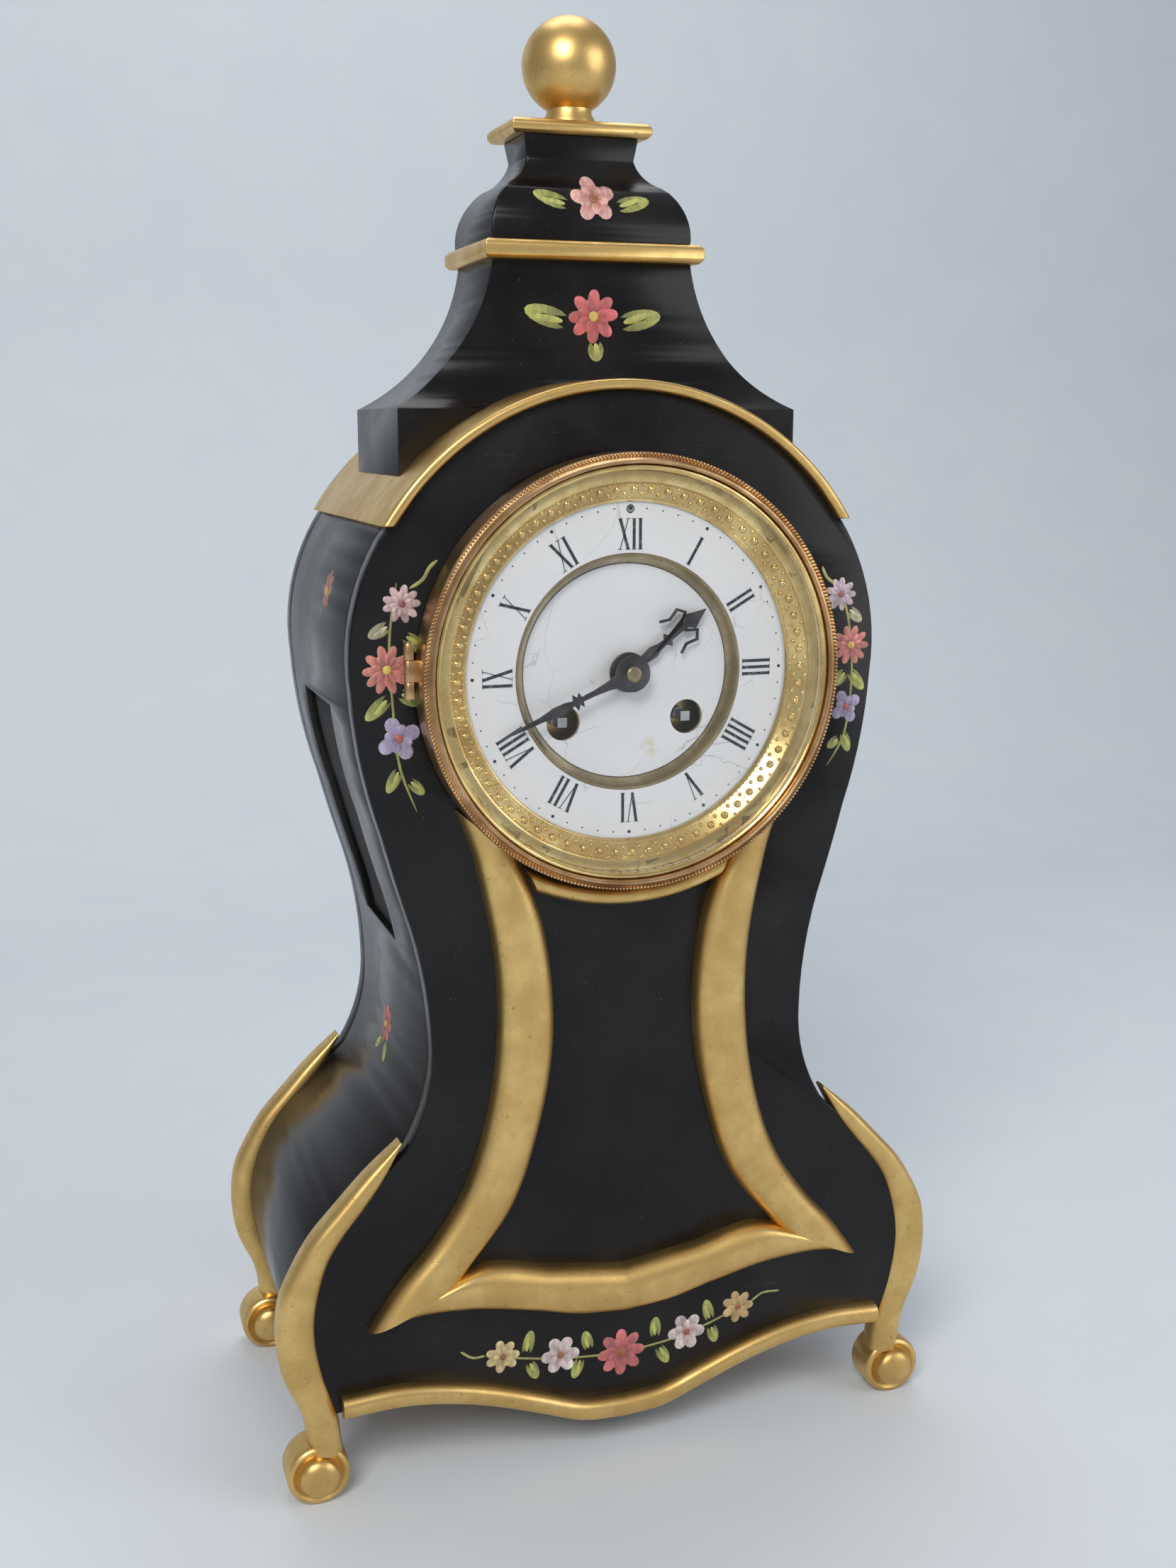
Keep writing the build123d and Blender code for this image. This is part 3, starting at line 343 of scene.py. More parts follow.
# %% Steel, blued steel and cloth
def steel(name, low, high, rough):
    material, shader, where = new_finish(name)
    lines = noise(stretched(where, 1.0, 1.0, 0.1), 0.6, 3)
    cloud = noise(where, 6, 3)
    base = cloud.step(0.35, 0.7).mix(low, high)
    set_finish(
        shader,
        Base_Color=base,
        Metallic=0.9,
        Roughness=lines * 0.14 + rough,
        Normal=bump(where, lines, 0.15, 0.03),
    )
    return material


def cloth():
    material, shader, where = new_finish("cloth")
    across = where.node("ShaderNodeTexWave", {"bands_direction": "Y"}, {"Vector": where, "Scale": 380.0})
    upward = where.node("ShaderNodeTexWave", {"bands_direction": "Z"}, {"Vector": where, "Scale": 380.0})
    weave = across * upward
    fade = noise(where, 16, 3)
    base = weave.mix((0.012, 0.011, 0.012), (0.06, 0.055, 0.055))
    base = (fade.step(0.5, 0.8) * 0.4).mix(base, (0.09, 0.08, 0.075))
    set_finish(shader, Base_Color=base, Roughness=weave * -0.1 + 0.95, Normal=bump(where, weave, 0.7, 0.25))
    return material


def plain_wood():
    material, shader, where = new_finish("plain_wood")
    grain = noise(stretched(where, 0.08, 1.0, 1.0), 2.4, 5, 0.6, 0.8)
    base = grain.step(0.3, 0.7).mix((0.42, 0.27, 0.14), (0.60, 0.43, 0.25))
    set_finish(shader, Base_Color=base, Roughness=grain * 0.2 + 0.5, Normal=bump(where, grain, 0.3, 0.15))
    return material


finishes["blued_steel"] = steel("blued_steel", (0.045, 0.042, 0.045), (0.10, 0.095, 0.10), 0.3)
finishes["steel"] = steel("steel", (0.42, 0.43, 0.45), (0.62, 0.63, 0.65), 0.25)
finishes["cloth"] = cloth()
finishes["plain_wood"] = plain_wood()
print("finishes:", len(finishes))

# %% [markdown]
# Every solid piece of the frame now takes the finish of its own slot in the record. Pieces that are
# remodelled below hide these solids later, but the dressed solids are what is left wherever the real
# piece is plain: plates, wheels, arbors, boards and panels.

# %% Dress the solid pieces
slot_of = {part["node"]: part["material_slot"] for part in frame["record"]["subparts"]}
bodies = frame["record"]["behaviour"]["bodies"]
body_of_node = {node: body for body, nodes in bodies.items() for node in nodes}


def dress(thing, finish):
    """Puts one finish on every face of an object."""
    if not thing.material_slots:
        thing.data.materials.append(finishes[finish])
    for material_slot in thing.material_slots:
        material_slot.material = finishes[finish]


for node, solid in frame["nodes"].items():
    dress(solid, slot_of[node])
print("dressed", len(frame["nodes"]), "solids")

# %% [markdown]
# A new piece is a surface: points on a grid of two parameters, joined by four-sided faces. The helpers
# number the faces, close the ends of a tube, put several shapes together, sample a smooth line through
# a few measured places, and turn points and faces into a piece that rides on its body. Doubled points
# at poles are merged and normals set outward.

# %% From grids of points to pieces
SMOOTH_ANGLE = math.radians(38)


def grid_faces(rows, columns, closed_rows=False, closed_columns=True, first=0):
    """Faces between each point of a rows by columns grid and its neighbours, as four indices each."""
    i = np.arange(rows if closed_rows else rows - 1)[:, None]
    j = np.arange(columns if closed_columns else columns - 1)[None, :]
    i2, j2 = (i + 1) % rows, (j + 1) % columns
    row, next_row = i * columns, i2 * columns
    corners = np.stack(np.broadcast_arrays(row + j, row + j2, next_row + j2, next_row + j), -1)
    return (corners.reshape(-1, 4) + first).tolist()


def end_faces(rows, columns, first=0):
    """The two faces that close the ends of a tube of rows by columns points."""
    last = first + (rows - 1) * columns
    return [[first + k for k in range(columns)], [last + k for k in range(columns)]]


def joined(shapes):
    """Several shapes, each its points and faces, as one, with the faces numbered on from shape to shape."""
    points, faces, total = [], [], 0
    for shape_points, shape_faces in shapes:
        points.append(shape_points.reshape(-1, 3))
        faces += [[total + k for k in face] for face in shape_faces]
        total += len(points[-1])
    return np.concatenate(points), faces


def flowing(points, count):
    """A smooth line through points, evenly spaced: cubics, with each slope taken from the neighbours."""
    points = np.array(points, float)
    along = np.r_[0, np.cumsum(np.hypot(*np.diff(points, axis=0).T))]
    slopes = np.gradient(points, along, axis=0)
    t = np.linspace(0, along[-1], count)
    i = np.clip(np.searchsorted(along, t, side="right") - 1, 0, len(points) - 2)
    span = (along[i + 1] - along[i])[:, None]
    s = (t - along[i])[:, None] / span
    start, end = (2 * s**3 - 3 * s**2 + 1), (3 * s**2 - 2 * s**3)
    leave, arrive = (s**3 - 2 * s**2 + s) * span, (s**3 - s**2) * span
    return start * points[i] + end * points[i + 1] + leave * slopes[i] + arrive * slopes[i + 1]


def linked(name, data):
    """A new object with its data, in the scene."""
    thing = bpy.data.objects.new(name, data)
    bpy.context.scene.collection.objects.link(thing)
    return thing


def make_piece(name, points, faces, finish, body, replaces, slot, paint=None):
    """A mesh piece in the frame from points in metres and index faces; paint is a colour for each point."""
    mesh = bpy.data.meshes.new(name)
    mesh.from_pydata(np.asarray(points).reshape(-1, 3).tolist(), [], faces)
    if paint is not None:
        colours = mesh.color_attributes.new("paint", "FLOAT_COLOR", "POINT")
        colours.data.foreach_set("color", np.c_[paint, np.ones(len(paint))].astype(np.float32).ravel())
    build = bmesh.new()
    build.from_mesh(mesh)
    bmesh.ops.remove_doubles(build, verts=build.verts, dist=1e-7)
    bmesh.ops.recalc_face_normals(build, faces=build.faces)
    build.to_mesh(mesh)
    build.free()
    mesh.shade_smooth()
    mesh.set_sharp_from_angle(angle=SMOOTH_ANGLE)
    piece = linked(name, mesh)
    dress(piece, finish)
    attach(piece, body)
    if replaces:
        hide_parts(*replaces)
    print("%s: %d faces" % (name, len(mesh.polygons)))
    return piece


# %% [markdown]
# Boards, caps and panels keep the solid's shape, but a real edge is never a knife edge: it is rubbed
# with sandpaper before the polish. A copy of the solid is merged, its sharp edges get a small round by
# a Bevel modifier with hardened normals, and the copy stands for the node. The hands and their nut are
# treated in the same way, with a finer round.

# %% Rounded edges
EDGE_SEGMENTS = 2
EDGE_ANGLE = math.radians(35)


def softened(node, edge_mm, finish):
    """A copy of a solid with its sharp edges rounded by edge_mm."""
    mesh = frame["nodes"][node].data.copy()
    mesh.name = node + "_softened"
    build = bmesh.new()
    build.from_mesh(mesh)
    bmesh.ops.remove_doubles(build, verts=build.verts, dist=1e-6)
    bmesh.ops.dissolve_limit(build, angle_limit=math.radians(0.5), verts=build.verts, edges=build.edges)
    build.to_mesh(mesh)
    build.free()
    mesh.shade_smooth()
    piece = linked(node + "_dressed", mesh)
    edge = piece.modifiers.new("rounded edges", "BEVEL")
    edge.width = edge_mm * MM
    edge.segments = EDGE_SEGMENTS
    edge.limit_method = "ANGLE"
    edge.angle_limit = EDGE_ANGLE
    edge.harden_normals = True
    edge.use_clamp_overlap = True
    dress(piece, finish)
    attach(piece, body_of_node[node])
    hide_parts(node)
    return piece


edges_mm = {
    "front_board": 0.7,
    "back_board": 0.6,
    "left_side_panel": 0.4,
    "right_side_panel": 0.4,
    "crown_block": 0.6,
    "crown_bell": 0.6,
    "crown_middle_cap": 0.5,
    "crown_top_cap": 0.5,
    "arch_moulding": 0.4,
    "back_cover": 0.4,
    "hour_hand": 0.16,
    "minute_hand": 0.16,
    "hand_nut": 0.2,
}
for node, edge_mm in edges_mm.items():
    softened(node, edge_mm, "dark_brass" if node == "hand_nut" else slot_of[node])
print("softened", len(edges_mm), "pieces")

# %% [markdown]
# The mouldings on the front are turned and carved strips with a round crest. Each is a band between
# two lines drawn on the board, its edges; at every station a half-round section stands between them.
# The two arms and the bar meet at mitres, so both end on the same line and their crests run on.

# %% Mouldings on the front
SECTION = np.linspace(0, np.pi, 15)
CREST_POWER = 0.8


def squarish(angle, power):
    """Cosine and sine with their sizes raised to a power below one, which draws a circle towards a square."""
    waves = np.cos(angle), np.sin(angle)
    return [np.sign(wave) * np.abs(wave) ** power for wave in waves]


def crested(name, left, right, proud, node, mirrored=False):
    """A band between two lines: across by half the squarish cosine, forward by the squarish sine."""
    side = -1.0 if mirrored else 1.0
    cosine, rise = squarish(SECTION, CREST_POWER)
    share = (1 - cosine) / 2
    across = left[:, None, :] + (right - left)[:, None, :] * share[None, :, None]
    points = place(side * across[..., 0], -proud * rise[None, :], across[..., 1])
    faces = grid_faces(*across.shape[:2]) + end_faces(*across.shape[:2])
    return make_piece(name, points, faces, "gilt", "case", [node], "gilt")


MOULDING_PROUD = 8.0
arm_outer = [(56.6, -41.2), (51.4, -55.5), (48.0, -70.0), (44.2, -92.0), (43.5, -114.0), (47.0, -143.0)]
arm_outer += [(57.5, -173.0), (67.5, -187.5), (79.2, -201.0), (88.8, -214.8)]
arm_inner = [(36.2, -59.9), (28.6, -80.0), (25.4, -100.0), (25.2, -124.0), (30.0, -150.0), (38.6, -175.0)]
arm_inner += [(56.4, -198.4)]
for side_name, mirrored in (("left", True), ("right", False)):
    outer, inner = flowing(arm_outer, 70), flowing(arm_inner, 70)
    crested(side_name + "_arm", outer, inner, MOULDING_PROUD, side_name + "_arm_moulding", mirrored)

bar_low = [(0, -221.5), (17, -220.0), (33, -216.0), (58, -211.4), (84.2, -212.9), (88.8, -214.8)]
bar_high = [(0, -205.0), (26.0, -201.2), (51.0, -197.0), (56.4, -198.4)]


def both_sides(line):
    """A right-hand line carried over to the left, in one run from left to right."""
    return np.concatenate([(line * (-1, 1))[::-1][:-1], line])


bar = both_sides(flowing(bar_low, 50)), both_sides(flowing(bar_high, 50))
crested("bottom_bar", *bar, MOULDING_PROUD, "bottom_bar_moulding")

CRESCENT = ((35.2, -60.6), (30.9, -69.8))
CRESCENT_RADII = (70.0, 76.3)


def arc_below(radius, end, count):
    """Part of a circle about the dial, from the left end over the bottom to the right end."""
    reach = math.atan2(end[0], -end[1])
    angle = np.linspace(-reach, reach, count)
    return np.stack([radius * np.sin(angle), -radius * np.cos(angle)], -1)


crescent = [arc_below(CRESCENT_RADII[k], CRESCENT[k], 60) for k in (1, 0)]
crested("crescent", *crescent, MOULDING_PROUD, "crescent_moulding")

apron_line = [(0.0, -258.6), (14.5, -257.4), (29.0, -252.2), (42.0, -247.4), (56.0, -243.2)]
apron_line += [(77.0, -239.8), (98.0, -240.4)]
APRON_HALF, APRON_PROUD = 3.8, 4.5
middle = both_sides(flowing(apron_line, 60))
crested("apron_strip", middle - (0, APRON_HALF), middle + (0, APRON_HALF), APRON_PROUD, "apron_moulding")

# %% [markdown]
# The legs are bands that lie over the case's corners, thin and pointed at the top, broad at the bend,
# and rolled up at the bottom into a scroll with a polished boss. The band is a tube whose section is a
# rounded rectangle between the leg's two edge lines. The scroll is turned about its own axis, with a
# groove round the boss, and is flattened where it stands on the floor.

# %% Legs and scroll feet
LEG_MIDDLE, LEG_HALF = 3.75, 5.75
LEG_STATIONS, LEG_AROUND, LEG_POWER = 60, 24, 0.75
FOOT_HALF, FOOT_RADIUS, FOOT_FLAT = 106.4, 10.6, 0.3
FOOT_HEIGHT = -FLOOR_BELOW + FOOT_RADIUS - FOOT_FLAT
leg_outer = [(76.2, -151.0), (87.8, -161.0), (98.3, -172.0), (106.4, -181.0), (112.1, -190.0)]
leg_outer += [(117.0, -200.5), (118.5, -211.0), (116.8, -228.0), (110.9, -243.0), (109.0, -257.0)]
leg_inner = [(75.4, -152.0), (81.6, -163.2), (88.5, -172.5), (94.6, -180.0), (99.6, -187.5), (103.6, -199.0)]
leg_inner += [(105.4, -211.0), (103.4, -228.0), (99.2, -243.0), (97.8, -257.0)]
around_leg = np.linspace(0, 2 * np.pi, LEG_AROUND, endpoint=False)


def leg_band(side, shift):
    """A tube of squarish section between the leg's edge lines; the pointed end has half the full depth."""
    outer, inner = flowing(leg_outer, LEG_STATIONS), flowing(leg_inner, LEG_STATIONS)
    centre, half = (outer + inner) / 2, (outer - inner) / 2
    depth = LEG_HALF * (1 - 0.5 * np.exp(-9 * np.linspace(0, 1, LEG_STATIONS)))
    cosine, sine = squarish(around_leg, LEG_POWER)
    across = centre[:, None, :] + half[:, None, :] * cosine[None, :, None]
    behind = LEG_MIDDLE + shift + depth[:, None] * sine[None, :]
    return place(side * across[..., 0], behind, across[..., 1])


def scroll_profile():
    """The scroll's section as (radius, behind): boss dome, groove, rolled lip, barrel and back."""
    dome = np.linspace(0, 1.45, 9)
    boss = np.stack([6.7 * np.sin(dome), -2.2 - 3.3 * np.cos(dome)], -1)
    lip = [(6.75, -1.6), (7.0, -0.4), (7.5, -0.5), (8.1, -1.1), (8.9, -1.5), (9.8, -1.2), (10.4, -0.4)]
    back = [(10.6, 0.8), (10.6, 5.0), (10.6, 10.2), (10.2, 11.4), (9.4, 12.0), (4.0, 12.0), (0.0, 12.0)]
    return np.concatenate([boss, lip, back])


def scroll(side, shift):
    """The profile turned about the scroll's axis; nothing reaches below the floor."""
    profile = scroll_profile()
    angle = np.linspace(0, 2 * np.pi, 48, endpoint=False)
    x = FOOT_HALF + profile[:, None, 0] * np.cos(angle)
    z = np.maximum(FOOT_HEIGHT + profile[:, None, 0] * np.sin(angle), -FLOOR_BELOW)
    return place(side * x, profile[:, None, 1] + shift, z)


REAR_SHIFT = 105.5
LEG_REAR_SHIFT = 108.5
for end, scroll_shift, band_shift in (("front", 0.0, 0.0), ("rear", REAR_SHIFT, LEG_REAR_SHIFT)):
    for side_name, side in (("left", -1), ("right", 1)):
        band, roll = leg_band(side, band_shift), scroll(side, scroll_shift)
        band_faces = grid_faces(*band.shape[:2]) + end_faces(*band.shape[:2])
        points, faces = joined([(band, band_faces), (roll, grid_faces(*roll.shape[:2]))])
        name = "%s_%s_leg" % (end, side_name)
        make_piece(name + "_scroll", points, faces, "gilt", "case", [name], "gilt")

# %% [markdown]
# The ball on the crown is turned wood under gold leaf, on a short foot. A lathe shape is one profile
# swept round an axis, so the same function makes the ball about the upright and the rings of the bezel
# about the dial's own axis.

# %% Lathe shapes
def swept_round(profile, sides, about_dial):
    """Each (radius, along) of the profile at every angle, about the dial's axis or the ball's upright."""
    profile = np.array(profile, float)
    angle = np.linspace(0, 2 * np.pi, sides, endpoint=False)
    one, two = profile[:, None, 0] * np.cos(angle), profile[:, None, 0] * np.sin(angle)
    along = profile[:, None, 1] + 0 * angle
    return place(one, along, two) if about_dial else place(one, BALL_BEHIND + two, along)


def turned_ring(name, profile, sides, finish, body, replaces, slot):
    """A closed profile turned about the dial's axis, as one piece."""
    ring = swept_round(profile, sides, True)
    faces = grid_faces(*ring.shape[:2], closed_rows=True)
    return make_piece(name, ring, faces, finish, body, replaces, slot)


BALL_BEHIND, BALL_HEIGHT, BALL_RADIUS, NECK_RADIUS = 55.0, 191.8, 15.5, 7.4
from_foot = np.linspace(math.asin(NECK_RADIUS / BALL_RADIUS), np.pi, 40)
sphere = np.stack([BALL_RADIUS * np.sin(from_foot), BALL_HEIGHT - BALL_RADIUS * np.cos(from_foot)], -1)
sphere[-1, 0] = 0
ball_foot = [(0, 173.0), (8.4, 173.0), (8.8, 173.8), (8.4, 175.2), (7.5, 176.8)]
ball = swept_round(np.concatenate([ball_foot, sphere]), 72, False)
make_piece("ball", ball, grid_faces(*ball.shape[:2]), "gilt", "case", ["ball_finial"], "gilt")

# %% [markdown]
# The bezel is cast brass, turned bright: a rolled ridge, outside it a row of fine beads, and inside the
# glass a sloping sight ring with large pearls between small ones. The beads are copies of one small
# dome with few faces, placed by whole arrays of angles.

# %% Bezel, sight ring and their beads
RING_SIDES = 200
lip_profile = [(63.4, -2.3), (63.4, -12.6), (63.5, -13.2), (63.9, -13.8), (64.4, -14.1), (64.9, -14.0)]
lip_profile += [(65.2, -13.6), (65.3, -13.0), (65.3, -2.3)]
rim_profile = [(65.3, -2.3), (65.3, -13.0), (65.4, -14.2), (65.7, -15.3), (66.1, -15.7), (66.6, -15.6)]
rim_profile += [(67.0, -15.1), (67.3, -14.5), (67.8, -13.9), (68.5, -13.6), (68.9, -13.2), (69.0, -12.6)]
rim_profile += [(69.0, -2.3)]
sight_profile = [(63.3, -11.1), (60.4, -11.1), (59.9, -10.9), (59.5, -10.2), (59.0, -9.9), (56.9, -8.2)]
sight_profile += [(55.0, -6.8), (54.6, -6.9), (54.1, -6.7), (53.7, -6.0), (54.6, -6.0)]
turned_ring("sight_cone", sight_profile, RING_SIDES, "gilt_bright", "bezel", ["sight_ring"], "gilt")
ASLANT = (0.0, 1.0, 0.31)


def beads(places, radii, normals, rows, columns):
    """Domes: each point is the bead's place plus its radius times a point of one unit hemisphere."""
    polar, turn = np.linspace(0.02, 1.9, rows), np.linspace(0, 2 * np.pi, columns, endpoint=False)
    polar, turn = np.meshgrid(polar, turn, indexing="ij")
    normals = normals / np.linalg.norm(normals, axis=-1, keepdims=True)
    side = np.cross(normals, ASLANT)
    side /= np.linalg.norm(side, axis=-1, keepdims=True)
    other = np.cross(normals, side)
    shares = (np.cos(polar), np.sin(polar) * np.cos(turn), np.sin(polar) * np.sin(turn))
    axes = (normals, side, other)
    local = sum(axis[:, None, None, :] * share[..., None] for axis, share in zip(axes, shares))
    points = places[:, None, None, :] + radii[:, None, None, None] * MM * local
    faces = []
    for first in range(0, len(places) * rows * columns, rows * columns):
        faces += grid_faces(rows, columns, first=first) + end_faces(rows, columns, first)
    return points.reshape(-1, 3), faces


def around_dial(count, radius, behind, lean, size, offset=0.0):
    """Places, radii and normals of beads round the dial; a negative lean tips them towards the middle."""
    angle = 2 * np.pi * (np.arange(count) + offset) / count
    outward = np.stack([np.cos(angle), 0 * angle, np.sin(angle)], -1)
    normals = outward * lean + np.array([0.0, -1.0, 0.0])
    return place(radius * np.cos(angle), behind, radius * np.sin(angle)), np.full(count, size), normals


EDGE_BEADS, PEARLS = 360, 64
places, radii, normals = around_dial(EDGE_BEADS, 68.4, -13.75, 0.4, 0.6)
points, faces = beads(places, radii, normals, 4, 7)
make_piece("bezel_edge_beads", points, faces, "gilt_coppery", "bezel", (), "gilt")
turned_ring("glass_lip", lip_profile, RING_SIDES, "gilt_bright", "bezel", (), "gilt")
rows = [around_dial(PEARLS, 57.6, -8.75, -0.75, 1.35)]
rows += [around_dial(PEARLS, 59.0, -9.9, -0.75, 0.6, 0.5), around_dial(PEARLS, 56.2, -7.7, -0.75, 0.75, 0.5)]
rows += [around_dial(PEARLS * 3, 60.3, -10.6, -0.4, 0.4, 0.5)]
rows += [around_dial(PEARLS * 3, 55.0, -6.9, -0.4, 0.35, 0.5)]
places, radii, normals = [np.concatenate(part) for part in zip(*rows)]
points, faces = beads(places, radii, normals, 5, 9)
make_piece("sight_ring_pearls", points, faces, "gilt_bright", "bezel", (), "gilt")

# %% [markdown]
# The bezel opens on a small hinge at nine o'clock, half hidden behind the beads: two short knuckles on
# the seat, one on the bezel between them, and a pin. Each knuckle is a lathe shape about the pin with a
# flat leaf that runs in behind the rim. The rim and its knuckle make one piece, as they are soldered.
# The pin of the back door's hinge belongs to the same solid in the frame, so both pins are made here.

# %% The bezel's hinge and both pins
HINGE_X, HINGE_BEHIND = -71.3, -4.3
KNUCKLE_RADIUS = 1.5
seat_profile = [(56.2, -2.0), (67.2, -2.0), (67.3, -1.8), (67.3, 0.0), (57.2, 0.0), (57.2, 8.0), (56.2, 8.0)]
rim, seat = swept_round(rim_profile, RING_SIDES, True), swept_round(seat_profile, RING_SIDES, True)


def leaf_and_knuckle(low, high, inner_x):
    """A knuckle with its leaf: a circle's outline drawn out to a flat tongue, carried up from low to high."""
    arc = np.linspace(np.pi / 2, 3 * np.pi / 2, 13)
    x = np.r_[HINGE_X + KNUCKLE_RADIUS * np.cos(arc), inner_x, inner_x]
    behind = HINGE_BEHIND + KNUCKLE_RADIUS * np.r_[-np.sin(arc), 1, -1]
    heights = np.array([low, low + 0.25, high - 0.25, high])[:, None]
    draw_in = np.array([0.9, 1.0, 1.0, 0.9])[:, None]
    x = x.mean() + (x - x.mean()) * draw_in
    behind = behind.mean() + (behind - behind.mean()) * draw_in
    return place(x, behind, heights), grid_faces(*x.shape) + end_faces(*x.shape)


shapes = [(rim, grid_faces(*rim.shape[:2], closed_rows=True)), leaf_and_knuckle(0.2, 6.8, -68.4)]
make_piece("bezel_rim", *joined(shapes), "gilt_coppery", "bezel", ["bezel_ring"], "gilt")
shapes = [(seat, grid_faces(*seat.shape[:2], closed_rows=True))]
shapes += [leaf_and_knuckle(low, high, -70.0) for low, high in ((-5.0, 0.0), (7.0, 12.0))]
make_piece("seat_with_hinge", *joined(shapes), "gilt_coppery", "case", ["bezel_seat"], "gilt")

DOOR_PIN_X, DOOR_PIN_BEHIND = 51.6, 118.2
PIN_PROFILE = np.array([(0.0, 0.0), (0.6, 0.0), (0.8, 0.04), (0.8, 0.96), (0.6, 1.0), (0.0, 1.0)])


def upright_pin(x, behind, low, high):
    """The pin's profile turned about an upright; its second number runs from 0 at low to 1 at high."""
    turn = np.linspace(0, 2 * np.pi, 16, endpoint=False)
    radius, share = PIN_PROFILE[:, None, 0], PIN_PROFILE[:, None, 1]
    pin = place(x + radius * np.cos(turn), behind + radius * np.sin(turn), low + (high - low) * share)
    return pin, grid_faces(*pin.shape[:2])


pins = [upright_pin(HINGE_X, HINGE_BEHIND, -5.5, 12.5), upright_pin(DOOR_PIN_X, DOOR_PIN_BEHIND, -20.0, 20.0)]
make_piece("both_hinge_pins", *joined(pins), "dark_brass", "case", ["hinge_pins"], "steel")

# %% [markdown]
# A brass ring stands between the chapter ring and the sunk middle of the dial. Its top is a thin edge
# that reads as a dark line, and its inside slopes down to the middle, which is why it looks broad on the
# side away from the camera.

# %% The dial's brass ring
inner_profile = [(37.8, -0.4), (37.8, -5.5), (37.5, -5.8), (37.0, -5.8), (36.7, -5.5), (34.5, -1.9)]
inner_profile += [(34.2, -0.4)]
# The ring takes the darker brass instead of plain brass: its colour carries a painted dark reflection.
turned_ring("dial_inner_ring", inner_profile, 160, "dark_brass", "case", ["dial_brass_ring"], "brass")

# %% [markdown]
# The figures are black enamel on the chapter ring, feet towards the middle. A figure is a few straight
# strokes, thick and thin as a pen would make them, so each stroke is a flat bar, turned to its hour.
# They stand a tenth of a millimetre proud, as fired enamel does.

# %% Figures and dots of the dial
FIGURE_FOOT, FIGURE_TOP = 38.9, 48.4
THICK, THIN, SERIF = 0.95, 0.24, 0.18
RING_FRONT = (ring_box[0][1] - FACE_Y) / MM
INK = 0.12


def letter_strokes(letter, left):
    """Strokes of one letter as (x1, z1, x2, z2, width), and the letter's width."""
    low, high = FIGURE_FOOT, FIGURE_TOP
    if letter == "I":
        strokes = [(left + 1.05, low, left + 1.05, high, THICK)]
        strokes += [(left + 0.3, z, left + 1.8, z, SERIF) for z in (low, high)]
        return strokes, 2.1
    if letter == "V":
        strokes = [(left + 0.9, high, left + 2.3, low, THICK), (left + 3.7, high, left + 2.3, low, THIN)]
        strokes += [(left + 0.2, high, left + 1.7, high, SERIF), (left + 3.0, high, left + 4.3, high, SERIF)]
        return strokes, 4.5
    strokes = [(left + 0.9, high, left + 3.6, low, THICK), (left + 3.6, high, left + 0.9, low, THIN)]
    strokes += [(left + x, z, left + x + 1.5, z, SERIF) for x in (0.2, 2.8) for z in (low, high)]
    return strokes, 4.5


def bar_corners(stroke, angle):
    """A stroke's four corners: its middle line moved half its width each way, turned clockwise by angle."""
    x1, z1, x2, z2, width = stroke
    line = np.array([[x1, z1], [x2, z2]])
    along = (line[1] - line[0]) / np.linalg.norm(line[1] - line[0])
    across = np.array([-along[1], along[0]]) * width / 2
    corners = np.array([line[0] + across, line[1] + across, line[1] - across, line[0] - across])
    c, s = math.cos(angle), math.sin(angle)
    return corners @ np.array([[c, -s], [s, c]])


def ink_blocks(outlines):
    """Outlines with the same number of corners, raised from the enamel by the ink's thickness."""
    points, faces = [], []
    for outline in outlines:
        n, first = len(outline), len(points) * 2 * len(outlines[0])
        levels = [place(outline[:, 0], RING_FRONT - height, outline[:, 1]) for height in (0.0, INK)]
        points.append(np.concatenate(levels))
        faces += [[first + k for k in range(n)], [first + 2 * n - 1 - k for k in range(n)]]
        faces += [[first + k, first + (k + 1) % n, first + n + (k + 1) % n, first + n + k] for k in range(n)]
    return np.concatenate(points), faces


hours = ("I", "II", "III", "IIII", "V", "VI", "VII", "VIII", "IX", "X", "XI", "XII")
outlines = []
for hour, letters in enumerate(hours, start=1):
    width = sum(letter_strokes(letter, 0)[1] for letter in letters)
    left = -width / 2
    for letter in letters:
        strokes, step = letter_strokes(letter, left)
        outlines += [bar_corners(stroke, math.radians(30 * hour)) for stroke in strokes]
        left += step
points, faces = ink_blocks(outlines)
make_piece("hour_figures", points, faces, "fired_black", "case", (), "enamel")

MINUTE_RADIUS = 51.7
around_dot = np.linspace(0, 2 * np.pi, 8, endpoint=False)
dot = np.stack([np.cos(around_dot), np.sin(around_dot)], -1)
outlines = []
for minute in range(60):
    angle = math.radians(6 * minute)
    size = 0.55 if minute % 5 == 0 else 0.26
    outlines.append(dot * size + MINUTE_RADIUS * np.array([math.sin(angle), math.cos(angle)]))
points, faces = ink_blocks(outlines)
make_piece("minute_dots", points, faces, "fired_black", "case", (), "enamel")

# %% [markdown]
# The case is painted with small garden flowers in the manner common on such clocks. The paint stands
# up a little, so a petal or a leaf is a low cushion: rings of points shrinking to its middle, crowned by
# the square root of one minus the ring squared. Each point carries its colour, dark at the heart and
# pale at the rim.

# %% Painters' shapes
rng = np.random.default_rng(7)
RINGS = np.array([1.0, 0.8, 0.5, 0.15])
AROUND = np.linspace(0, 2 * np.pi, 14, endpoint=False)
PAINT_LIFT, PAINT_BURY = 0.32, 0.1
STEM_STATIONS, STEM_AROUND = 16, 6


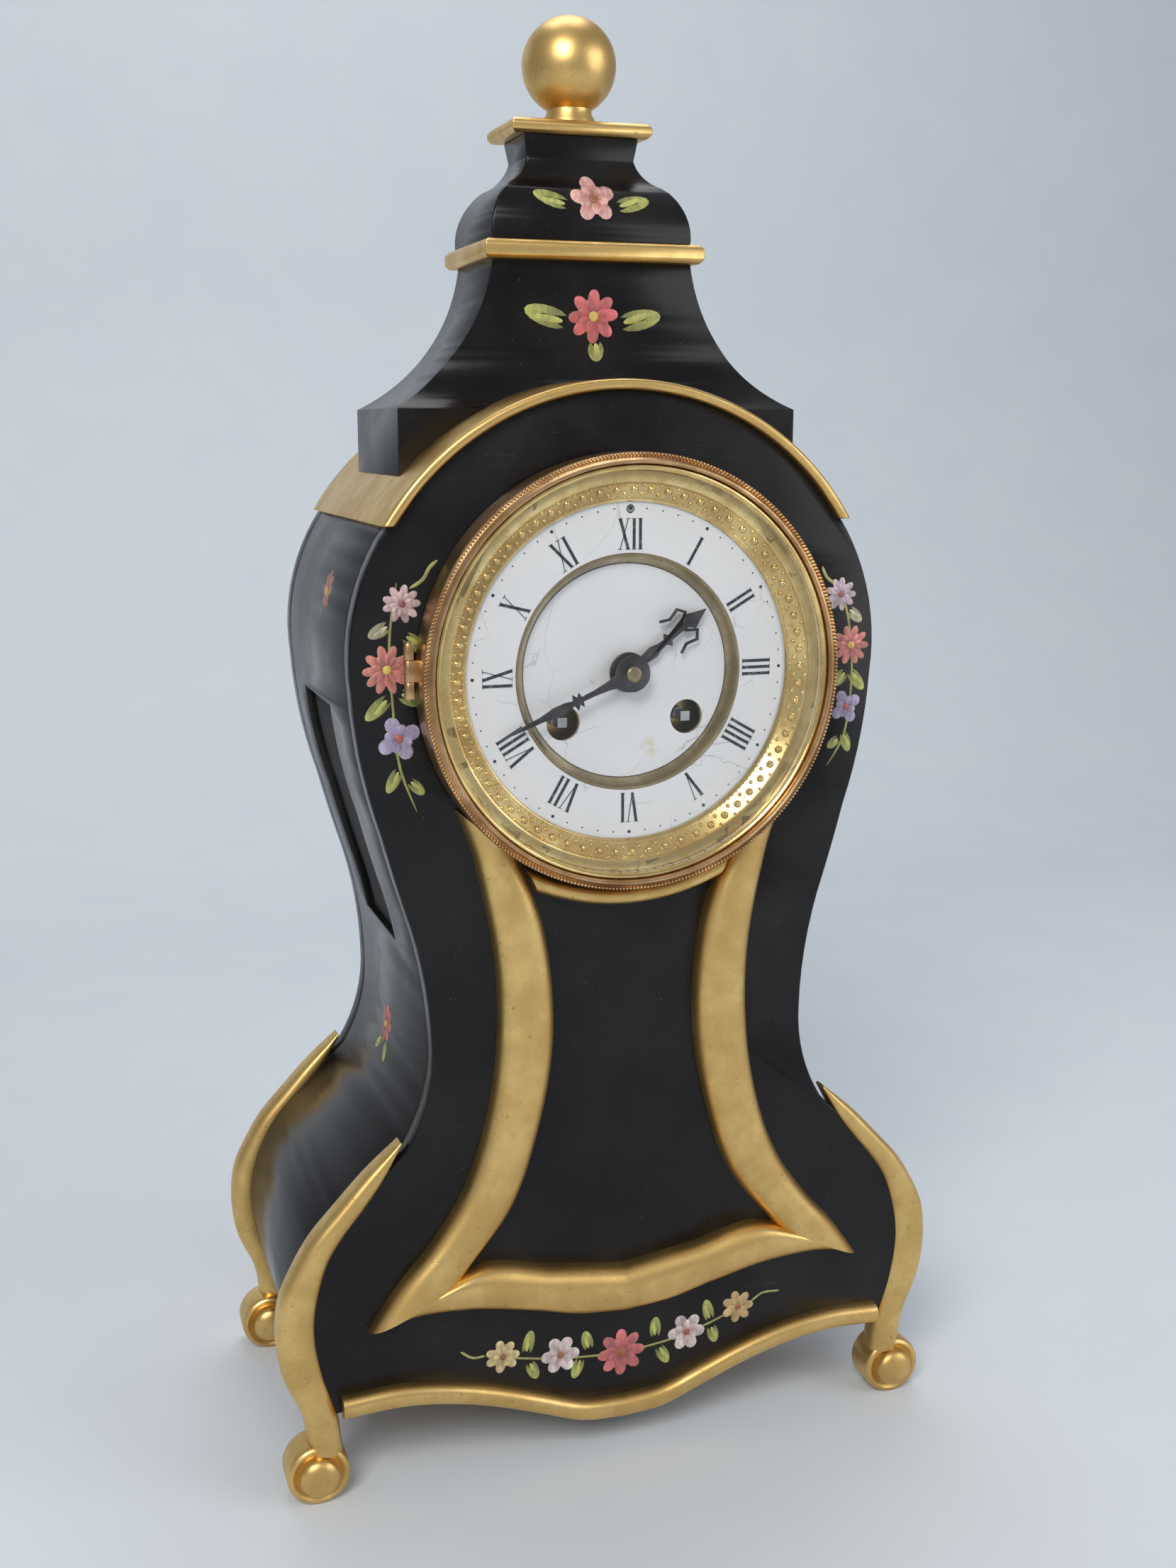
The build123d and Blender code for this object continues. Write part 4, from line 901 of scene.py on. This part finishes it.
class Painting:
    """Collects petals, leaves and stems on one surface, and makes them one piece."""

    def __init__(self, surface):
        self.surface = surface
        self.points = []
        self.faces = []
        self.paint = []
        self.count = 0

    def cushion(self, base, angle, length, width, heart, rim, blunt=0.35, lift=PAINT_LIFT):
        """A petal: long by one minus cosine, wide by sine times a power (blunt) of the half angle's sine."""
        along = length * (1 - np.cos(AROUND)) / 2
        across = width / 2 * np.sin(AROUND) * np.sin(AROUND / 2) ** blunt
        middle = np.array([length * 0.55, 0.0])
        flat = np.stack([along, across], -1)
        rings = middle + (flat - middle) * RINGS[:, None, None]
        c, s = math.cos(angle), math.sin(angle)
        turned = rings @ np.array([[c, s], [-s, c]]) + np.array(base)
        height = lift * np.sqrt(np.clip(1 - RINGS**2, 0, 1))[:, None] + 0 * along - 0.02
        height[0] = -PAINT_BURY
        share = np.clip(rings[..., 0] / length + rng.normal(0, 0.08, rings.shape[:2]), 0, 1)[..., None]
        colour = np.array(heart) * (1 - share) + np.array(rim) * share
        self.add(turned.reshape(-1, 2), height.ravel(), colour.reshape(-1, 3), len(RINGS), len(AROUND))

    def add(self, flat, height, colour, rows, columns):
        """One more tube of rows by columns points on the surface, closed at both ends."""
        self.points.append(self.surface(flat[:, 0], flat[:, 1], height))
        self.faces += grid_faces(rows, columns, first=self.count) + end_faces(rows, columns, self.count)
        self.paint.append(colour)
        self.count += rows * columns

    def flower(self, centre, radius, petals, heart, rim, eye, layers=2, turn=0.0, wide=1.25):
        """One or two rounds of petals and a round eye."""
        for layer in range(layers):
            reach = radius * (1.0 - 0.36 * layer)
            for k in range(petals):
                angle = turn + 2 * np.pi * (k + 0.5 * layer) / petals + rng.normal(0, 0.05)
                tone = 1 + rng.normal(0, 0.12)
                width = wide * 2 * np.pi * reach * 0.6 / petals
                self.cushion(
                    centre, angle, reach, width, np.array(heart) * tone, np.array(rim) * tone, 0.6,
                    PAINT_LIFT * (1 + 0.5 * layer),
                )
        size = radius * 0.22
        self.cushion((centre[0] - size, centre[1]), 0.0, 2 * size, 2 * size, eye, eye, 0.0, 0.75)

    def leaf(self, base, tip, width, dark=(0.10, 0.14, 0.02), light=(0.52, 0.55, 0.14)):
        """A pointed leaf between two places, with a pale half over it."""
        reach = np.subtract(tip, base)
        angle, length = math.atan2(reach[1], reach[0]), float(np.hypot(*reach))
        self.cushion(base, angle, length, width, dark, light, -0.25, 0.22)
        base = np.add(base, reach * 0.12)
        self.cushion(base, angle + 0.12, length * 0.7, width * 0.42, light, light, 0.0, 0.34)

    def stem(self, points, width=0.7, colour=(0.34, 0.36, 0.10)):
        """A low tube along a smooth line, its ends drawn in."""
        line = flowing(points, STEM_STATIONS)
        slope = np.gradient(line, axis=0)
        slope /= np.linalg.norm(slope, axis=1, keepdims=True)
        across = np.stack([-slope[:, 1], slope[:, 0]], -1)
        around = np.linspace(0, 2 * np.pi, STEM_AROUND, endpoint=False)
        swell = np.sin(np.linspace(0.15, np.pi - 0.15, STEM_STATIONS))
        half = width / 2 * np.clip(swell * 2.2, 0.2, 1)
        flat = line[:, None] + across[:, None] * (half[:, None] * np.cos(around))[..., None]
        height = np.tile(0.04 + 0.14 * np.sin(around), STEM_STATIONS)
        shade = np.tile(np.array(colour), (len(height), 1))
        self.add(flat.reshape(-1, 2), height, shade, STEM_STATIONS, STEM_AROUND)

    def done(self, name):
        """The finished painting as one piece on the case."""
        points, colours = np.concatenate(self.points), np.clip(np.concatenate(self.paint), 0, 1)
        return make_piece(name, points, self.faces, "painted_flowers", "case", (), "black_wood", colours)


# %% [markdown]
# Paint follows the wood it lies on. The board is flat, the crown's two faces curve, and the sides bulge,
# so a painting is given a surface: a function from places on the picture to places on the clock. The
# curved fronts are arcs through three measured places, and the sides follow the board's own outline.

# %% Surfaces that carry the paint
def on_board(x, z, lift):
    return place(x, -lift, z)


def arc_of(points):
    """Behind as a function of height on the circle through three (behind, height) places."""
    (a, b), (c, d), (e, f) = points
    matrix = np.array([[2 * (c - a), 2 * (d - b)], [2 * (e - a), 2 * (f - b)]])
    centre = np.linalg.solve(matrix, [c * c + d * d - a * a - b * b, e * e + f * f - a * a - b * b])
    radius = math.hypot(a - centre[0], b - centre[1])
    side = 1.0 if c > centre[0] else -1.0
    return lambda z: centre[0] + side * np.sqrt(np.maximum(radius**2 - (z - centre[1]) ** 2, 0.0))


crown_hollow = arc_of([(20.5, 82.0), (28.1, 90.0), (30.3, 102.0)])
bell_low_curve = arc_of([(30.0, 134.3), (31.6, 144.6), (35.2, 151.0)])
bell_high_curve = arc_of([(35.2, 151.0), (40.6, 156.4), (42.6, 161.5)])


def on_crown(x, z, lift):
    return place(x, np.where(z > 102.0, 30.3, crown_hollow(np.minimum(z, 102.0))) - lift, z)


def on_crown_bell(x, z, lift):
    behind = np.where(z < 151.0, bell_low_curve(np.minimum(z, 151.0)), bell_high_curve(np.maximum(z, 151.0)))
    return place(x, behind - lift, z)


flank = [(75.8, 47.0), (84.8, 29.0), (88.2, -4.0), (86.0, -24.0), (79.8, -49.0), (73.1, -73.0), (67.2, -97.0)]
flank += [(65.2, -120.0), (67.3, -138.0), (74.3, -154.0), (83.2, -163.0), (93.4, -172.0)]
flank_curve = flowing(flank, 400)[::-1]


def on_side(side):
    """The left or the right wall: the picture's x runs from front to back."""

    def surface(x, z, lift):
        half = np.interp(z, flank_curve[:, 1], flank_curve[:, 0])
        return place(side * (half + lift), x, z)

    return surface


# %% [markdown]
# Now the flowers themselves, each at the place where it stands on the clock, in millimetres from the
# dial's centre: sprays beside the dial, a garland over the apron, a rose on each tier of the crown and
# two on each wall.

# %% Flowers beside the dial
ROSE, ROSE_RIM = (0.30, 0.03, 0.04), (0.72, 0.20, 0.20)
CORAL, CORAL_RIM = (0.42, 0.08, 0.06), (0.86, 0.34, 0.28)
PINK, PINK_RIM = (0.45, 0.24, 0.26), (0.84, 0.66, 0.66)
LILAC, LILAC_RIM = (0.26, 0.20, 0.38), (0.52, 0.48, 0.66)
CREAM, CREAM_RIM = (0.42, 0.30, 0.10), (0.80, 0.66, 0.34)
YELLOW, RUST = (0.78, 0.58, 0.12), (0.36, 0.12, 0.05)
DARK_EYE, RED_EYE = (0.35, 0.10, 0.10), (0.5, 0.12, 0.10)
PALE_STEM, GREY_LEAF, GREY_LEAF_RIM = (0.42, 0.44, 0.14), (0.2, 0.2, 0.08), (0.62, 0.60, 0.40)

spray = Painting(on_board)
spray.stem([(-60.6, 36.6), (-63.0, 34.6), (-65.2, 31.0), (-69.5, 28.2)], 1.1, PALE_STEM)
spray.stem([(-73.5, 30.0), (-76.0, 14.0), (-75.5, -8.0), (-73.5, -28.0), (-68.6, -41.4)], 0.8)
spray.leaf((-75.5, 17.5), (-83.0, 13.6), 4.2, GREY_LEAF, GREY_LEAF_RIM)
spray.leaf((-72.0, 14.5), (-64.6, 8.2), 4.6)
spray.leaf((-76.0, -4.5), (-84.5, -12.0), 4.6)
spray.leaf((-74.0, -3.6), (-65.5, -7.6), 4.8)
spray.leaf((-73.6, -27.0), (-78.0, -35.2), 4.0)
spray.leaf((-71.2, -31.0), (-66.0, -36.2), 3.6)
spray.flower((-72.1, 23.6), 6.2, 9, PINK, PINK_RIM, DARK_EYE)
spray.flower((-77.1, 3.6), 8.0, 10, CORAL, CORAL_RIM, YELLOW)
spray.flower((-73.9, -17.9), 7.4, 4, LILAC, LILAC_RIM, RED_EYE, turn=0.5, wide=0.9)
spray.done("flowers_left_of_dial")

spray = Painting(on_board)
spray.stem([(69.3, 31.4), (71.0, 28.0), (75.0, 25.0)], 1.0, PALE_STEM)
spray.stem([(76.4, 26.0), (80.5, 8.0), (81.0, -12.0), (77.9, -28.0), (72.9, -35.5)], 0.8)
spray.leaf((79.0, 17.5), (84.6, 12.6), 3.8, GREY_LEAF, GREY_LEAF_RIM)
spray.leaf((80.0, -3.0), (86.0, -10.5), 4.2)
spray.leaf((79.5, -3.4), (74.0, -8.6), 4.2)
spray.leaf((78.5, -24.0), (81.0, -31.5), 3.6)
spray.leaf((77.6, -26.0), (72.8, -29.6), 3.4)
spray.flower((76.4, 22.1), 5.8, 9, LILAC, PINK_RIM, DARK_EYE)
spray.flower((80.6, 5.0), 6.9, 10, ROSE, CORAL_RIM, YELLOW)
spray.flower((79.4, -15.7), 6.0, 4, LILAC, LILAC_RIM, RED_EYE, turn=0.5, wide=0.9)
spray.done("flowers_right_of_dial")

# %% Garland over the apron
garland = Painting(on_board)
garland.stem([(-57.5, -228.4), (-53.0, -231.4), (-49.0, -231.4)], 0.9, PALE_STEM)
garland.stem([(-48.0, -232.0), (-24.0, -237.0), (0.0, -239.0), (24.0, -236.5), (47.0, -229.0)], 0.8)
garland.stem([(49.0, -228.4), (53.0, -226.0), (60.0, -226.0)], 0.8, PALE_STEM)
for base, tip in (
    ((-34.6, -234.0), (-32.4, -224.6)),
    ((-33.6, -236.0), (-30.6, -243.6)),
    ((-11.6, -236.6), (-13.4, -228.4)),
    ((-14.6, -238.0), (-17.6, -246.2)),
    ((12.6, -236.4), (12.8, -227.6)),
    ((13.6, -238.8), (17.6, -246.6)),
    ((33.6, -233.6), (31.6, -224.4)),
    ((33.6, -234.6), (35.6, -242.0)),
):
    garland.leaf(base, tip, 4.2)
garland.flower((-42.8, -232.8), 6.3, 7, CREAM, CREAM_RIM, RUST)
garland.flower((-22.2, -236.0), 7.2, 6, PINK, (0.88, 0.80, 0.76), RUST)
garland.flower((0.0, -239.0), 9.0, 8, ROSE, ROSE_RIM, RUST)
garland.flower((24.4, -235.6), 7.2, 6, PINK, (0.88, 0.80, 0.76), RUST)
garland.flower((43.9, -229.4), 6.3, 7, CREAM, (0.62, 0.44, 0.20), RUST)
garland.done("flowers_over_apron")

# %% Roses on the crown and on the walls
crown = Painting(on_crown)
crown.leaf((-8.0, 109.0), (-24.0, 113.6), 6.6)
crown.leaf((8.0, 109.0), (24.0, 112.0), 6.6)
crown.leaf((0.6, 104.0), (1.2, 96.8), 5.4)
crown.flower((0.0, 111.3), 8.8, 8, ROSE, (0.78, 0.18, 0.18), YELLOW)
crown.done("flowers_on_crown")
crown = Painting(on_crown_bell)
crown.leaf((-7.0, 145.4), (-19.6, 149.6), 5.0)
crown.leaf((7.6, 145.4), (20.6, 148.2), 5.0)
crown.flower((1.0, 148.0), 8.0, 5, CORAL, (0.84, 0.52, 0.46), RUST, turn=0.4, wide=1.05)
crown.done("flowers_on_crown_bell")
for side_name, side in (("left", -1), ("right", 1)):
    wall = Painting(on_side(side))
    wall.leaf((44.0, 19.0), (37.0, 12.6), 4.0)
    wall.leaf((48.0, 19.0), (55.0, 13.6), 4.0)
    wall.flower((46.0, 24.0), 7.0, 8, RUST, (0.46, 0.24, 0.18), YELLOW)
    wall.leaf((63.0, -138.0), (57.0, -145.0), 4.0)
    wall.leaf((67.0, -138.0), (73.0, -144.0), 4.0)
    wall.flower((65.0, -133.0), 7.0, 8, ROSE, (0.58, 0.20, 0.18), YELLOW)
    wall.done("flowers_on_%s_wall" % side_name)

# %% [markdown]
# The stage is a pale sheet that runs from the floor up behind the clock in one curve, so no horizon
# line crosses the picture. It keeps the clock's shadow, and its pale colour is what the black polish and
# the glass reflect.

# %% Floor and backdrop
STAGE_HALF, STAGE_FRONT, STAGE_BACK, STAGE_HIGH, STAGE_BEND = 2.2, -1.6, 1.1, 2.4, 0.5
bend = np.linspace(0, np.pi / 2, 24)
curve = np.stack([STAGE_BACK - STAGE_BEND * (1 - np.sin(bend)), STAGE_BEND * (1 - np.cos(bend))], -1)
line = np.concatenate([[(STAGE_FRONT, 0.0)], curve, [(STAGE_BACK, STAGE_HIGH)]])
across = np.array([-STAGE_HALF, STAGE_HALF])
points = np.stack(
    [np.broadcast_to(across, (len(line), 2)), np.repeat(line[:, :1], 2, 1), np.repeat(line[:, 1:], 2, 1)], -1
)
sheet_mesh = bpy.data.meshes.new("stage_sheet")
sheet_mesh.from_pydata(points.reshape(-1, 3).tolist(), [], grid_faces(len(line), 2, closed_columns=False))
sheet_mesh.shade_smooth()
stage = linked("stage_sheet", sheet_mesh)
material, shader, where = new_finish("stage_paper")
paper = noise(where, 60, 3)
set_finish(shader, Base_Color=paper.mix((0.60, 0.64, 0.69), (0.65, 0.69, 0.73)), Roughness=0.9)
finishes["stage_paper"] = material
dress(stage, "stage_paper")

# %% [markdown]
# The light is that of a studio: a large soft lamp high on the left in front, a weaker one on the right
# to open the shadows, and a pale surround that the black polish mirrors. The camera stands where the
# photographer stood, a little left and above, and looks down by twelve degrees.

# %% Light and camera
world = bpy.data.worlds.new("surround")
bpy.context.scene.world = world
world.use_nodes = True
background = world.node_tree.nodes["Background"]
background.inputs["Color"].default_value = (0.80, 0.85, 0.92, 1)
background.inputs["Strength"].default_value = 0.38


def soft_lamp(name, place_m, target_m, size_m, watts, colour):
    """A square area lamp at a place, aimed at a target."""
    light = bpy.data.lights.new(name, "AREA")
    light.size = size_m
    light.energy = watts
    light.color = colour
    lamp = linked(name, light)
    lamp.location = place_m
    lamp.rotation_euler = (Vector(target_m) - Vector(place_m)).to_track_quat("-Z", "Y").to_euler()


soft_lamp("key", (-0.75, -1.15, 1.25), (0.0, 0.0, 0.24), 0.7, 19.0, (1.0, 0.97, 0.92))
soft_lamp("fill", (1.1, -0.9, 0.7), (0.0, 0.0, 0.2), 1.0, 7.0, (0.95, 0.97, 1.0))
soft_lamp("above", (0.1, 0.5, 1.5), (0.0, 0.1, 0.2), 0.8, 6.0, (1.0, 1.0, 1.0))

PHOTO_WIDTH, FOCAL_PIXELS, SENSOR = 1659, 2424.9, 36.0
lens = bpy.data.cameras.new("camera")
lens.sensor_fit = "HORIZONTAL"
lens.sensor_width = SENSOR
lens.lens = FOCAL_PIXELS / PHOTO_WIDTH * SENSOR
lens.clip_start = 0.01
camera = linked("camera", lens)
camera.location = (-0.1875, -0.56925, 0.3499)
camera.rotation_euler = (math.radians(90 - 11.69), 0.0, math.radians(-18.87))
bpy.context.scene.camera = camera
bpy.context.scene.view_settings.view_transform = "Standard"
